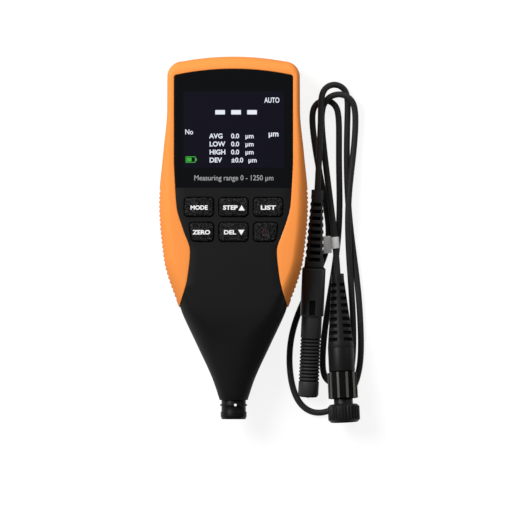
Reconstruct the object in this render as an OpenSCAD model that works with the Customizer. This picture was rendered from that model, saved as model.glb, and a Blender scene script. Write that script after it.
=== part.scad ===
// Coating thickness gauge: a moulded two-shell housing with an overmoulded grip band, a sprung probe in its
// nose, and a separate probe lead that lies beside it. The gauge lies on its back.
// X runs to the right, Y towards the display end and Z up out of the front. Millimetres.

/* [Housing] */
// Overall length, from the top of the housing to the foot of the nose probe
gauge_length = 163; // [160:0.5:170]
// Width across the grip, at its widest
grip_width = 67; // [65:0.5:70]
// Width beside the display
head_width = 59.4; // [58.6:0.2:62]
// Width where the grip band ends in points
throat_width = 48.8; // [47:0.2:51]
// Width half way up the nose cone
cone_width = 33.2; // [31:0.2:36]
// Width low on the nose cone
cone_low_width = 18.6; // [18:0.2:20]
// Diameter of the nose where the probe comes out
nose_d = 12.6; // [12.4:0.1:13.4]
// Depth from the back to the front
depth = 30; // [29.5:0.25:33]
// Length of the nose cone, up to the ends of the grip band
cone_length = 41.4; // [40:0.2:43]
// Distance from the top down to the widest place
grip_drop = 66.5; // [64:0.5:69]
// Straight length of the sides beside the display
head_straight = 24; // [20:0.5:27]
// Radius of the arched top, seen from the front
arch_r = 125; // [110:1:160]
// Radius of the top corners, seen from the front
corner_r = 7; // [6:0.25:8]
// Rounding of the top end, seen from the side
top_round = 5; // [4:0.25:7]
// Thickness of the grip band
grip_t = 2.2; // [1.8:0.1:2.6]
// Ribs on each side of the grip band
grip_ribs = 24; // [18:1:26]
// Distance between those ribs
rib_pitch = 2; // [1.8:0.1:2.2]
// Height of those ribs
rib_h = 0.4; // [0.2:0.05:0.6]
// Thickness of the shells' walls
wall = 2; // [1.6:0.1:2.4]
// How far the black face lies below the rim of the grip band
face_drop = 0.4; // [0.2:0.05:0.6]

/* [Face] */
// Width of the black face between the sides of the grip band
face_width = 53.4; // [53:0.1:54]
// Width of the black face at its waist
waist_width = 39; // [38.4:0.2:42]
// Rim of the grip band above the black face
top_rim = 5.7; // [5:0.1:6.2]
// Length of the glossy window plate
window_length = 53.3; // [53:0.1:54]
// Thickness of the window plate
window_t = 1.2; // [1:0.1:1.3]
// Width of the lit area of the display
lit_w = 45; // [43:0.5:46]
// Height of the lit area of the display
lit_h = 34.2; // [32:0.2:35]
// Middle of the lit area, below the top of the housing
lit_drop = 32.9; // [32:0.1:33.5]

/* [Keys] */
// Width of a key
key_w = 12.9; // [11.5:0.1:13.2]
// Height of a key
key_h = 8.3; // [7:0.1:8.6]
// Distance between the columns of keys
key_pitch_x = 15.5; // [15:0.1:16]
// Distance between the rows of keys
key_pitch_y = 11.15; // [10.8:0.05:11.4]
// Middle of the upper row, below the top of the housing
key_drop = 67.65; // [67:0.05:68]
// Rounding of a key's corners
key_r = 1.6; // [1:0.1:2]
// How far a key stands out of the face
key_proud = 0.6; // [0.3:0.05:1]
// How far a key can be pressed in
key_travel = 0.7; // [0.4:0.05:0.7]

/* [Nose probe] */
// How far the probe reaches out of the nose
probe_reach = 8.6; // [8.2:0.1:9]
// Diameter of the sliding sleeve
sleeve_d = 11; // [10.8:0.05:11.1]
// Diameter of the sleeve's bore
sleeve_bore_d = 6.4; // [6.2:0.1:6.8]
// Diameter of the foot
foot_d = 11.7; // [11.4:0.1:12.2]
// Length of the foot
foot_length = 3.4; // [2.8:0.1:3.6]
// Diameter of the thin ring on the sleeve
ring_d = 12.2; // [11.8:0.1:12.6]
// How far the sleeve slides in
probe_travel = 1.5; // [1:0.1:1.5]
// Diameter of the fixed core
core_d = 5.8; // [5.2:0.1:5.9]
// Wire diameter of the probe spring
spring_wire_d = 0.8; // [0.6:0.05:0.9]

/* [Battery and board] */
// Diameter of a battery cell
cell_d = 10.5; // [10:0.1:10.5]
// Length of a battery cell
cell_length = 44.5; // [43.5:0.1:45]
// Thickness of the battery door
door_t = 2; // [1.6:0.1:2.2]
// Thickness of the circuit board
board_t = 1.6; // [1:0.1:1.8]

/* [Probe lead] */
// Diameter of the cord
cord_d = 2.8; // [2.6:0.1:3.2]
// Diameter of the pen probe's smooth body
pen_d = 10.6; // [10.2:0.1:11]
// Diameter of the pen probe's ribbed grip
pen_grip_d = 9.2; // [8.6:0.1:9.6]
// Ribs on the pen probe's grip
pen_ribs = 13; // [8:1:14]
// Diameter of the plug's smooth body
plug_d = 11.8; // [11.2:0.1:12.4]
// Diameter across the corners of the plug's fluted shell
plug_shell_d = 13.3; // [12.6:0.1:13.6]
// Diameter of the plug's neck
plug_neck_d = 8.6; // [8:0.1:9]
// Diameter of the knurled ring
plug_ring_d = 14.3; // [13.8:0.1:15]
// Length of the knurled ring
plug_ring_length = 8.1; // [7.6:0.1:8.6]
// Grooves round the knurled ring
knurls = 30; // [20:1:36]

/* [Hidden] */
$fn = 48;

// Clearances: between parts that are seated, between loose or pressed parts, and between running parts
fit = 0.05;
loose = 0.3;
running = 0.05;
past = 1;

// Stations along the housing
top_y = gauge_length / 2;
foot_y = -gauge_length / 2;
nose_y = foot_y + probe_reach;
cone_low_run = 9;
cone_run = 25;
waist_run = 24;
flare_lift = 1.8;
cone_low_y = nose_y + cone_low_run;
cone_y = nose_y + cone_run;
throat_y = nose_y + cone_length;
widest_y = top_y - grip_drop;
waist_y = widest_y - waist_run;
shoulder_y = top_y - head_straight;
flare_y = (widest_y + shoulder_y) / 2 + flare_lift;
axis_z = depth / 2;
nose_r = nose_d / 2 + face_drop;

// The housing's sections: y, half width, fall of the front and back from full depth, then width, depth and
// power of the front corners, and radius of the back corners. A power of 2 is round, a lower one is creased.
housing_keys = [
    [nose_y, nose_r, axis_z - nose_r, nose_r - 0.3, nose_r - 0.5, 2, nose_r - 0.5],
    [cone_low_y, cone_low_width / 2 + face_drop, 6, 9.2, 8.4, 2, 8.4],
    [cone_y, cone_width / 2 + face_drop, 2.8, 14, 11.4, 2, 11],
    [throat_y, throat_width / 2, 0.4, 8, 9, 1.8, 9],
    [waist_y, grip_width / 2 - 2, 0, 5.4, 7.4, 1.8, 7],
    [widest_y, grip_width / 2, 0, 5, 6.6, 1.8, 6.5],
    [flare_y, (grip_width + head_width) / 4, 0, 3.4, 4.2, 1.9, 5],
    [shoulder_y, head_width / 2 + 0.1, 0, 2.6, 3, 2, 4],
    [top_y, head_width / 2, 0, 2.6, 3, 2, 4]
];

// Half width of the black face along the grip band
face_top_y = top_y - top_rim;
face_side_run = 18;
face_bend_run = 11.5;
tip_run = 13.5;
tip_past = 6;
face_side_y = widest_y + face_side_run;
face_keys = [
    [throat_y - tip_past, throat_width / 2 + 1.6],
    [throat_y + 2.5, throat_width / 2 - 0.8],
    [throat_y + tip_run, waist_width / 2 + 1.2],
    [waist_y + 3, waist_width / 2],
    [widest_y - face_bend_run, (face_width + waist_width) / 4 - 0.6],
    [widest_y - 1, face_width / 2 - 1.2],
    [face_side_y, face_width / 2]
];
face_step = 3;
face_corner_r = 3.5;

// Ribs on the sides of the grip band
rib_lift = 5;
rib_gap = 1;
rib_length = 24;
rib_top_y = widest_y + rib_lift;

// Levels through the front, from the face down
face_z = depth - face_drop;
window_floor_z = face_z - window_t;
window_end_y = face_top_y - window_length;
display_top_z = window_floor_z - 1.7;
display_t = 2.6;
board_top_z = display_top_z - display_t - 2 * fit;
board_z = board_top_z - board_t;
key_wall_z = face_z - 2;
key_flange_top_z = key_wall_z - loose;
key_flange_t = 1;
mat_top_z = key_flange_top_z - key_flange_t - key_travel - 2 * fit;
mat_floor_z = board_top_z + fit;
dome_t = 0.4;
dome_r = 3;

// Display and board
lit_y = top_y - lit_drop;
display_w = lit_w + 4;
display_top_margin = 2;
display_bottom_margin = 4;
display_top_y = lit_y + lit_h / 2 + display_top_margin;
display_bottom_y = lit_y - lit_h / 2 - display_bottom_margin;
cavity_drop = 8.5;
cavity_y = throat_y - cavity_drop;
board_top_y = display_top_y - 0.5;
board_w = 2 * (head_width / 2 - grip_t - wall - 1.6);
post_r = 2.2;
post_edge = 3;
post_gap = 1.1;
board_hole_r = 1.1;
board_screw_grip = 2;

// Keys
key_y = top_y - key_drop;
key_flange = 0.8;
keypad_bottom_y = key_y - key_pitch_y - key_h / 2 - key_flange;
keypad_top_y = key_y + key_h / 2 + key_flange;
low_post_y = keypad_bottom_y - post_gap - post_r;
high_post_y = (keypad_top_y + display_bottom_y) / 2;
board_bottom_y = low_post_y - post_edge;
board_low_w = 34;
board_step_y = keypad_bottom_y + 6;
post_places = [
    [-board_low_w / 2 + post_edge, low_post_y], [board_low_w / 2 - post_edge, low_post_y],
    [-board_w / 2 + post_edge, high_post_y], [board_w / 2 - post_edge, high_post_y]
];
key_gap = 0.3;
key_trim_top = 2;
key_trim_bottom = 3.3;

// Battery bay, cells side by side along Y
cell_gap = 0.6;
cell_x = (cell_d + cell_gap) / 2;
cell_z = face_drop + door_t + loose + cell_d / 2;
contact_space = 3;
bay_w = 2 * cell_d + cell_gap + 1.6;
bay_y = waist_y + 4;
bay_length = cell_length + 2 * contact_space;
bay_wall = 1.2;
bay_top_z = cell_z + cell_d / 2 + 0.3;
cell_y = bay_y + contact_space;
door_margin = 2;
door_screw_room = 9;
door_w = bay_w + 2 * door_margin;
door_y = bay_y - door_screw_room;
door_length = bay_length + door_margin + door_screw_room;
door_r = 3;
door_screw_y = bay_y - bay_wall - 4;
door_boss_h = 8;
door_screw_length = 7;

// Screws
screw_shaft_r = 1.25;
screw_head_r = 2.4;
screw_head_t = 2;
screw_top_z = 22;
screw_head_z = 8;
boss_r = 2.8;
rear_boss_r = 4;
boss_root_z = grip_t + wall - 0.4;
high_screw_x = 20;
high_screw_drop = 10.5;
low_screw_x = 16;
low_screw_rise = 1.5;
case_screw_places = [
    [-high_screw_x, top_y - high_screw_drop], [high_screw_x, top_y - high_screw_drop],
    [-low_screw_x, throat_y + low_screw_rise], [low_screw_x, throat_y + low_screw_rise]
];

// Nose probe, all on one axis
sleeve_r = sleeve_d / 2;
bush_inset = 6.5;
bush_y = nose_y + bush_inset;
bush_length = 9.4;
bush_r = sleeve_r + 1;
pocket_r = bush_r + fit;
sleeve_flange_y = bush_y + bush_length + loose;
sleeve_flange_t = 1.5;
spring_length = 9.2;
spring_r = 4.6;
spring_turns = 5.5;
spring_sides = 6;
spring_steps = 10;
core_flange_y = sleeve_flange_y + sleeve_flange_t + spring_length + 2 * fit;
core_flange_t = 3;
core_tip_r = 1.3;
core_tip_y = foot_y + probe_travel;
lip_y = core_flange_y + core_flange_t + fit;
lip_r = 4;
foot_round = 1.4;
ring_t = 0.8;
ring_y = nose_y - 1.85 - ring_t;

// Probe lead: places of the thin ends of the two strain reliefs, and how the two ends lie
lead_probe_at = [37.75, 21.6, 12.4];
lead_probe_turn = [4.7, 0, -2.57];
lead_plug_at = [46.8, -16.2, 6.2];
lead_plug_turn = [-4.1, 0, 2.6];
relief_thin_r = 2.7;
pen_relief_length = 34.6;
pen_relief_r = 4.4;
pen_body_length = 22.5;
pen_grip_length = 36.5;
plug_relief_length = 33.3;
plug_relief_thin_r = 2.85;
plug_body_length = 11.25;
plug_shell_length = 11.7;
plug_neck_length = 2.7;
plug_sides = 10;
window_rows = 9;
window_pitch = 3.1;

// The tag's place on the cord
tag_at = [45.75, -2.2, 5.36];
tag_turn = [-4, 0, 4.5];
tag_gap = 0.25;

// The cord's route, from the pen probe's strain relief to the plug's
cord_r = cord_d / 2;
cord_sides = 8;
cord_steps = 2;
cord_straight = 3;
function away(turn) = [-sin(turn[2]) * cos(turn[0]), cos(turn[2]) * cos(turn[0]), sin(turn[0])];
cord_middle = [
    [38.5, 36, 12], [39.4, 54, 9], [39.2, 63.4, 7.5], [41, 67.9, 6.3], [45.4, 69.8, 4.7],
    [49.9, 67.9, 3], [51.7, 63.4, 1.5], [51.2, 52, 1.4], [50.8, 26, 1.4], [52.7, 2, 1.4],
    [56.3, -22, 1.4], [57.6, -44, 1.4], [57.4, -60, 1.4], [51.8, -74, 1.4], [38.3, -81, 1.4],
    [28, -75, 1.4], [24.6, -59, 1.4], [25.6, -43, 1.4], [31.4, -28, 1.4], [39.5, -13, 1.4],
    [43.8, 0, 1.4], [41.6, 15, 1.4], [37.4, 36, 1.4], [34.8, 54.8, 1.4], [36.5, 60.6, 1.4],
    [41.3, 62.8, 1.4], [46.1, 60.6, 1.4], [47.8, 54.8, 1.4], [47.3, 34, 1.4], [48.2, 10, 1.4],
    [46, -12, 1.4], [41.2, -38, 1.4], [39.5, -58.8, 1.4], [41.6, -64.4, 1.4], [46.6, -66.6, 1.4],
    [51.6, -64.4, 1.4], [53.6, -58.8, 1.4], [54.3, -42, 1.4], [52.9, -20, 2.4], [51.4, 0, 4.4],
    [51.6, 20, 5], [54.4, 40, 2.3], [55.4, 57.6, 3.5], [53.1, 63.2, 5.1], [47.4, 65.6, 5.2],
    [41.7, 63.2, 4.9], [39.3, 57.4, 4], [40, 46, 2], [42.6, 24, 2.8], [45.6, 1, 5.2],
    [46.2, -8.5, 5.8]
];
cord_route = concat(
    [lead_probe_at + fit * away(lead_probe_turn), lead_probe_at + cord_straight * away(lead_probe_turn)],
    cord_middle,
    [lead_plug_at + cord_straight * away(lead_plug_turn), lead_plug_at + fit * away(lead_plug_turn)]
);

// Smooth value of one column of a table of stations, with no overshoot between its rows
function rise(keys, i, c) = (keys[i + 1][c] - keys[i][c]) / (keys[i + 1][0] - keys[i][0]);
function joint_slope(a, b) = a * b <= 0 ? 0 : 2 * a * b / (a + b);
function slope_at(keys, i, c) =
    i == 0 ? rise(keys, 0, c)
    : i == len(keys) - 1 ? rise(keys, i - 1, c)
    : joint_slope(rise(keys, i - 1, c), rise(keys, i, c));
function row_below(keys, y, i = 0) = i >= len(keys) - 2 || y < keys[i + 1][0] ? i : row_below(keys, y, i + 1);
function between(keys, y, c, i, h, t) =
    keys[i][c] * (1 + 2 * t) * (1 - t) * (1 - t) + slope_at(keys, i, c) * h * t * (1 - t) * (1 - t)
    + keys[i + 1][c] * t * t * (3 - 2 * t) - slope_at(keys, i + 1, c) * h * t * t * (1 - t);
function along(keys, y, c) =
    let (i = row_below(keys, y), h = keys[i + 1][0] - keys[i][0])
    between(keys, y, c, i, h, (y - keys[i][0]) / h);
function clamp01(t) = min(1, max(0, t));
function ease(t) = t * t * (3 - 2 * t);

// Housing skin: sections with rounded corners, bowed along the arched top
corner_steps = 5;
station_step = 7;
room_corner_steps = 2;
room_station_step = 12;
crown_share = 0.4;
function top_bow(y) = ease(clamp01((y - shoulder_y) / (head_straight - corner_r)));
function end_fall(y, r, end) = y <= end - r ? 0 : r - sqrt(max(0, r * r - pow(y - end + r, 2)));
function power_curve(t, p) = pow(max(0, t), 2 / p);
function quarter(n) = [for (i = [0:n]) 90 * i / n];
function half_section(w, front, back, cx, cz, p, cb, steps) = concat(
    [[crown_share * (w - cx), front]],
    [for (a = quarter(steps))
        [w - cx + cx * power_curve(sin(a), p), front - cz + cz * power_curve(cos(a), p)]],
    [for (a = quarter(steps)) [w - cb + cb * cos(a), back + cb - cb * sin(a)]],
    [[crown_share * (w - cb), back]]
);
function section(y, inset, steps) =
    let (
        end = top_y - inset,
        fall = along(housing_keys, y, 2) + inset + end_fall(y, top_round - inset, end),
        w = along(housing_keys, y, 1) - inset - end_fall(y, corner_r - inset, end),
        half = half_section(w, depth - fall, fall, max(0.4, along(housing_keys, y, 3) - inset),
            max(0.4, along(housing_keys, y, 4) - inset), along(housing_keys, y, 5),
            max(0.4, along(housing_keys, y, 6) - inset), steps),
        n = len(half)
    )
    [for (i = [0:2 * n - 1])
        let (p = i < n ? half[i] : half[2 * n - 1 - i], x = i < n ? p[0] : -p[0])
        [x, y - top_bow(y) * x * x / (2 * arch_r), p[1]]];
function stations(from, inset, step) =
    let (
        r = corner_r - inset,
        end = top_y - inset,
        count = ceil((end - r - from) / step)
    )
    concat(
        [for (i = [0:count]) from + (end - r - from) * i / count],
        [for (a = [25, 45, 62, 77, 90]) end - r + r * sin(a)]
    );

// Closed skin through a list of rings with the same number of points
module skin(rings) {
    m = len(rings[0]);
    last = (len(rings) - 1) * m;
    polyhedron(
        points = [for (ring = rings) each ring],
        faces = concat(
            [[for (j = [0:m - 1]) j]],
            [for (i = [0:len(rings) - 2], j = [0:m - 1])
                let (a = i * m + j, b = i * m + (j + 1) % m)
                each [[a, a + m, b + m], [a, b + m, b]]],
            [[for (j = [m - 1:-1:0]) last + j]]
        ),
        convexity = 8
    );
}

module housing(inset, from = nose_y, steps = corner_steps, step = station_step) {
    skin([for (y = stations(from, inset, step)) section(y, inset, steps)]);
}
module case_room() {
    housing(grip_t + wall, cavity_y, room_corner_steps, room_station_step);
}

// Plan of the black face, from the arched top to past the nose, grown by a gap
function face_half(y) = along(face_keys, y, 1);
function arch_fall(x, r) = r - sqrt(r * r - x * x);
module face_plan(gap = 0) {
    low = face_keys[0][0];
    count = ceil((face_side_y - low) / face_step);
    heights = [for (i = [0:count]) low + (face_side_y - low) * i / count];
    for (i = [0:count - 1]) {
        a = face_half(heights[i]) + gap;
        b = face_half(heights[i + 1]) + gap;
        hull() polygon([[-a, heights[i]], [a, heights[i]], [b, heights[i + 1]], [-b, heights[i + 1]]]);
    }
    half = face_width / 2 + gap;
    round_x = half - face_corner_r;
    hull() {
        for (side = [-1, 1]) {
            translate([side * half, face_side_y]) square(0.01, center = true);
            translate([side * round_x, face_top_y + gap - face_corner_r - arch_fall(round_x, arch_r)])
                circle(face_corner_r);
        }
        polygon([for (i = [-8:8]) [round_x * i / 8, face_top_y + gap - arch_fall(round_x * i / 8, arch_r)]]);
    }
    half_low = face_half(low) + gap;
    translate([-half_low, foot_y]) square([2 * half_low, low - foot_y]);
}

module face_prism(gap = 0) {
    translate([0, 0, -past]) linear_extrude(depth + 2 * past) face_plan(gap);
}

// Everything inside the grip band, as one block: the black faces, the nose and the band's seat
module core_block() {
    intersection() {
        housing(face_drop);
        face_prism();
    }
    housing(grip_t);
}

module half_space(front) {
    seam = fit / 2;
    size = 2 * gauge_length;
    translate([-size / 2, -size / 2, front ? axis_z + seam : axis_z - seam - size]) cube(size);
}

// A cylinder along Y on the probe's axis, from one station to another
module on_axis(from, to, r) {
    translate([0, from, axis_z]) rotate([-90, 0, 0]) cylinder(h = to - from, r = r);
}

module nose_bores() {
    bore_sides = 32;
    outside = 1 / cos(180 / bore_sides);
    $fn = bore_sides;
    on_axis(nose_y - past, bush_y, outside * (sleeve_r + loose));
    on_axis(bush_y, lip_y, outside * pocket_r);
    on_axis(lip_y - past, cavity_y + past, outside * lip_r);
}

// Keys: row 0 is the upper one, columns run from -1 to 1
function row_y(row) = key_y - row * key_pitch_y;
function trim(col, row, side, amount) = row == 1 && col == side ? amount : 0;
function key_corner(col, row, side, end) =
    let (amount = end > 0 ? key_trim_top : key_trim_bottom)
    [col * key_pitch_x + side * (key_w / 2 - trim(col, row, side, amount)), row_y(row) + end * key_h / 2];
module key_plan(col, row, grow = 0) {
    hull()
        for (side = [-1, 1], end = [-1, 1])
            translate(key_corner(col, row, side, end) - [side * key_r, end * key_r])
                circle(key_r + grow, $fn = 20);
}
module key(col, row) {
    chamfer = 0.4;
    top = face_z + key_proud;
    hull() {
        translate([0, 0, key_flange_top_z - fit]) linear_extrude(top - chamfer - key_flange_top_z + fit)
            key_plan(col, row);
        translate([0, 0, top - 0.01]) linear_extrude(0.01) key_plan(col, row, -chamfer);
    }
    translate([0, 0, key_flange_top_z - key_flange_t]) linear_extrude(key_flange_t)
        key_plan(col, row, key_flange);
}
module each_key() {
    for (row = [0, 1], col = [-1, 0, 1]) {
        $col = col;
        $row = row;
        children();
    }
}
module key_middle() {
    inward = $row * abs($col) * (key_trim_top + key_trim_bottom) / 4;
    translate([$col * (key_pitch_x - inward), row_y($row)]) children();
}

module keypad_plan(grow) {
    hull() for (col = [-1, 1]) key_plan(col, 0, grow);
    hull() for (col = [-1, 1]) key_plan(col, 1, grow);
    hull() for (row = [0, 1]) key_plan(0, row, grow);
}

// Front shell
module window_plan(gap) {
    intersection() {
        face_plan(gap);
        translate([-head_width, window_end_y - gap]) square([2 * head_width, window_length + 2 * top_rim]);
    }
}
module display_plan(grow) {
    translate([-display_w / 2 - grow, display_bottom_y - grow])
        square([display_w + 2 * grow, display_top_y - display_bottom_y + 2 * grow]);
}
module front_case() {
    $fn = 24;
    color("#1c1c1e") difference() {
        union() {
            difference() {
                intersection() {
                    core_block();
                    half_space(true);
                }
                case_room();
                translate([0, 0, axis_z]) linear_extrude(display_top_z + fit - axis_z) display_plan(0.4);
                translate([0, 0, axis_z]) linear_extrude(key_wall_z - axis_z) keypad_plan(key_flange + 0.6);
            }
            for (p = case_screw_places)
                translate([p[0], p[1], axis_z + fit / 2])
                    cylinder(h = depth - wall - axis_z - 1.2, r = boss_r);
            for (p = post_places)
                translate([p[0], p[1], board_top_z + fit]) cylinder(h = 3, r = post_r);
        }
        translate([0, 0, window_floor_z]) linear_extrude(depth) window_plan(fit);
        translate([-lit_w / 2 - 0.5, lit_y - lit_h / 2 - 0.5, axis_z]) cube([lit_w + 1, lit_h + 1, depth]);
        translate([0, 0, axis_z + past]) linear_extrude(depth) each_key() key_plan($col, $row, key_gap);
        for (p = case_screw_places)
            translate([p[0], p[1], axis_z - past])
                cylinder(h = screw_top_z + 1.5 - axis_z, r = screw_shaft_r + 0.1);
        for (p = post_places)
            translate([p[0], p[1], axis_z])
                cylinder(h = board_top_z + board_screw_grip + 0.6 - axis_z, r = board_hole_r);
        nose_bores();
    }
}

// Rear shell with the battery bay
module rounded_plan(w, l, r) {
    hull() for (x = [r, w - r], y = [r, l - r]) translate([x, y]) circle(r, $fn = 24);
}
module door_plan(gap) {
    translate([-door_w / 2 - gap, door_y - gap])
        rounded_plan(door_w + 2 * gap, door_length + 2 * gap, door_r + gap);
}
module bay_box(grow, from, to) {
    translate([-bay_w / 2 - grow, bay_y - grow, from])
        cube([bay_w + 2 * grow, bay_length + 2 * grow, to - from]);
}
module rear_case() {
    $fn = 24;
    color("#1c1c1e") difference() {
        union() {
            difference() {
                intersection() {
                    core_block();
                    half_space(false);
                }
                case_room();
            }
            bay_box(bay_wall, wall, bay_top_z + bay_wall);
            for (p = case_screw_places)
                translate([p[0], p[1], boss_root_z])
                    cylinder(h = axis_z - boss_root_z - fit / 2, r = rear_boss_r);
            translate([0, door_screw_y, wall]) cylinder(h = door_boss_h, r = rear_boss_r - 0.8);
        }
        bay_box(0, -past, bay_top_z);
        translate([0, 0, -past]) linear_extrude(face_drop + door_t + fit + past) door_plan(0.15);
        for (p = case_screw_places) translate([p[0], p[1], -past]) {
            cylinder(h = screw_head_z + screw_head_t + past, r = screw_head_r + 0.2);
            cylinder(h = axis_z + past, r = screw_shaft_r + 0.15);
        }
        translate([0, door_screw_y, 0]) cylinder(h = door_boss_h, r = screw_shaft_r + 0.1);
        nose_bores();
    }
}

// Overmoulded band round the top and the sides, with an opening for the face on both sides and ribs for grip
module rib_gaps() {
    for (i = [0:grip_ribs], side = [0, 1]) {
        y = rib_top_y - (i - 0.5) * rib_pitch;
        mirror([side, 0, 0])
            translate([along(housing_keys, y, 1) - rib_h, y - rib_gap / 2, axis_z - rib_length / 2])
                cube([past, rib_gap, rib_length]);
    }
}
module grip_band() {
    color("#e8892c") difference() {
        housing(0);
        housing(grip_t - fit);
        face_prism(fit);
        translate([0, nose_y, axis_z]) cube([2 * throat_width, 4, 2 * depth], center = true);
        rib_gaps();
    }
}

// Display, board and keypad
module display_window() {
    color("#0c0c0e") translate([0, 0, window_floor_z + fit]) linear_extrude(window_t) window_plan(-fit);
}
module display_module() {
    color("#16181c") translate([0, 0, display_top_z - display_t]) linear_extrude(display_t) display_plan(0);
}
module circuit_board() {
    color("#1f6b3a") translate([0, 0, board_z]) difference() {
        linear_extrude(board_t) {
            translate([-board_w / 2, board_step_y]) square([board_w, board_top_y - board_step_y]);
            translate([-board_low_w / 2, board_bottom_y])
                square([board_low_w, board_step_y - board_bottom_y + past]);
        }
        for (p = post_places)
            translate([p[0], p[1], -past]) cylinder(h = board_t + 2 * past, r = board_hole_r);
    }
}
module board_screws() {
    color("silver") for (p = post_places) translate([p[0], p[1], board_z - fit]) {
        mirror([0, 0, 1]) cylinder(h = 1.3, r = 1.9);
        cylinder(h = board_t + board_screw_grip, r = board_hole_r - 0.15);
    }
}
module keypad_mat() {
    $fn = 20;
    color("#2b2b2e") translate([0, 0, mat_floor_z]) difference() {
        linear_extrude(mat_top_z - mat_floor_z) keypad_plan(key_flange);
        each_key() key_middle() translate([0, 0, -past]) cylinder(h = dome_t + 0.2 + past, r = dome_r + 0.4);
    }
}
module switch_domes() {
    color("silver") translate([0, 0, board_top_z + fit]) each_key() key_middle()
        cylinder(h = dome_t, r1 = dome_r, r2 = dome_r - 1);
}
module key_at(col, row) {
    color("#242426") key(col, row);
}

// Battery
module battery_cell(side) {
    button_length = 0.8;
    color("#3f6f9f") translate([side * cell_x, cell_y, cell_z]) rotate([-90, 0, 0])
        if (side > 0) {
            cylinder(h = cell_length - button_length, r = cell_d / 2);
            cylinder(h = cell_length, r = 1.9);
        } else {
            translate([0, 0, button_length]) cylinder(h = cell_length - button_length, r = cell_d / 2);
            cylinder(h = cell_length, r = 1.9);
        }
}
module battery_contact(side, far) {
    plate_t = 0.4;
    plate = 8;
    bow = contact_space - plate_t - loose;
    end_y = far ? bay_y + bay_length - fit : bay_y + fit;
    translate([side * cell_x - plate / 2, end_y, cell_z - plate / 2]) mirror([0, far ? 1 : 0, 0])
        rotate([90, 0, 90]) linear_extrude(plate) polygon([
            [0, 0], [plate_t, 0], [plate_t, 1], [bow, plate * 0.4], [bow, plate * 0.6],
            [plate_t, plate - 1], [plate_t, plate], [0, plate]
        ]);
}
module battery_contacts() {
    color("silver") for (side = [-1, 1], far = [false, true]) battery_contact(side, far);
}
module battery_door() {
    color("#1c1c1e") difference() {
        translate([0, 0, face_drop]) linear_extrude(door_t) door_plan(0);
        translate([0, door_screw_y, -past]) cylinder(h = depth, r = screw_shaft_r + 0.2);
        translate([0, door_screw_y, -past])
            cylinder(h = face_drop + door_t - 0.8 + past, r = screw_head_r + 0.2);
    }
}
module battery_door_screw() {
    color("silver") translate([0, door_screw_y, face_drop + 0.2]) {
        cylinder(h = door_t - 1.05, r = screw_head_r);
        cylinder(h = door_screw_length, r = screw_shaft_r);
    }
}
module case_screws() {
    color("silver") for (p = case_screw_places) translate([p[0], p[1], screw_head_z]) {
        cylinder(h = screw_head_t - fit, r = screw_head_r);
        cylinder(h = screw_top_z - screw_head_z, r = screw_shaft_r);
    }
}

// Nose probe
module nose_bush() {
    color("#b08d4a") difference() {
        on_axis(bush_y + fit, bush_y + bush_length, bush_r);
        on_axis(bush_y - past, bush_y + bush_length + past, sleeve_r + running);
    }
}
module probe_sleeve() {
    foot_r = foot_d / 2;
    color("#161617") translate([0, foot_y, axis_z]) rotate([-90, 0, 0]) rotate_extrude() difference() {
        union() {
            square([sleeve_r, sleeve_flange_y + sleeve_flange_t - foot_y]);
            translate([0, sleeve_flange_y - foot_y]) square([bush_r - 0.3, sleeve_flange_t]);
            translate([0, ring_y - foot_y]) square([ring_d / 2, ring_t]);
            translate([0, foot_round]) square([foot_r, foot_length - foot_round]);
            square([foot_r - foot_round, foot_length]);
            translate([foot_r - foot_round, foot_round]) circle(foot_round);
        }
        translate([-past, -past]) square([sleeve_bore_d / 2 + past, gauge_length]);
    }
}
module probe_core() {
    color("#8c8f94") {
        on_axis(core_tip_y + core_tip_r, core_flange_y + past, core_d / 2);
        on_axis(core_flange_y, core_flange_y + core_flange_t, bush_r - 0.2);
        translate([0, core_tip_y + core_tip_r, axis_z]) sphere(core_tip_r);
    }
}
function helix_point(s, a, r) =
    [cos(s) * (spring_r + r * cos(a)), s / 360 * (spring_length - spring_wire_d) / spring_turns + r * sin(a),
        sin(s) * (spring_r + r * cos(a))];
module probe_spring() {
    turn = 360 / spring_steps;
    side = 360 / spring_sides;
    color("silver") translate([0, sleeve_flange_y + sleeve_flange_t + fit + spring_wire_d / 2, axis_z])
        skin([for (i = [0:spring_turns * spring_steps])
            [for (j = [spring_sides - 1:-1:0]) helix_point(i * turn, j * side, spring_wire_d / 2)]]);
}
module probe_ribbon() {
    ribbon_w = 5;
    ribbon_t = 0.4;
    ribbon_flat = 6;
    start = [core_flange_y + core_flange_t + fit, axis_z];
    end = [board_bottom_y + 4, board_z - fit];
    bend = [throat_y - 2, axis_z + 1];
    color("#b87333") translate([-ribbon_w / 2, 0, 0]) rotate([90, 0, 90]) linear_extrude(ribbon_w) polygon([
        start, bend, [end[0] - ribbon_flat, end[1] - ribbon_t], end - [0, ribbon_t],
        end, [end[0] - ribbon_flat - ribbon_t, end[1]], bend + [-0.3, ribbon_t], start + [0, ribbon_t]
    ]);
}

// Probe lead
module lay(at, turn) {
    translate(at) rotate([0, 0, turn[2]]) rotate([turn[0], 0, 0]) rotate([90, 0, 0]) children();
}
module pen(from = 0) {
    lay(lead_probe_at, lead_probe_turn) translate([0, 0, from]) children();
}
module plug(from = 0) {
    lay(lead_plug_at, lead_plug_turn) translate([0, 0, from]) children();
}
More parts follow.
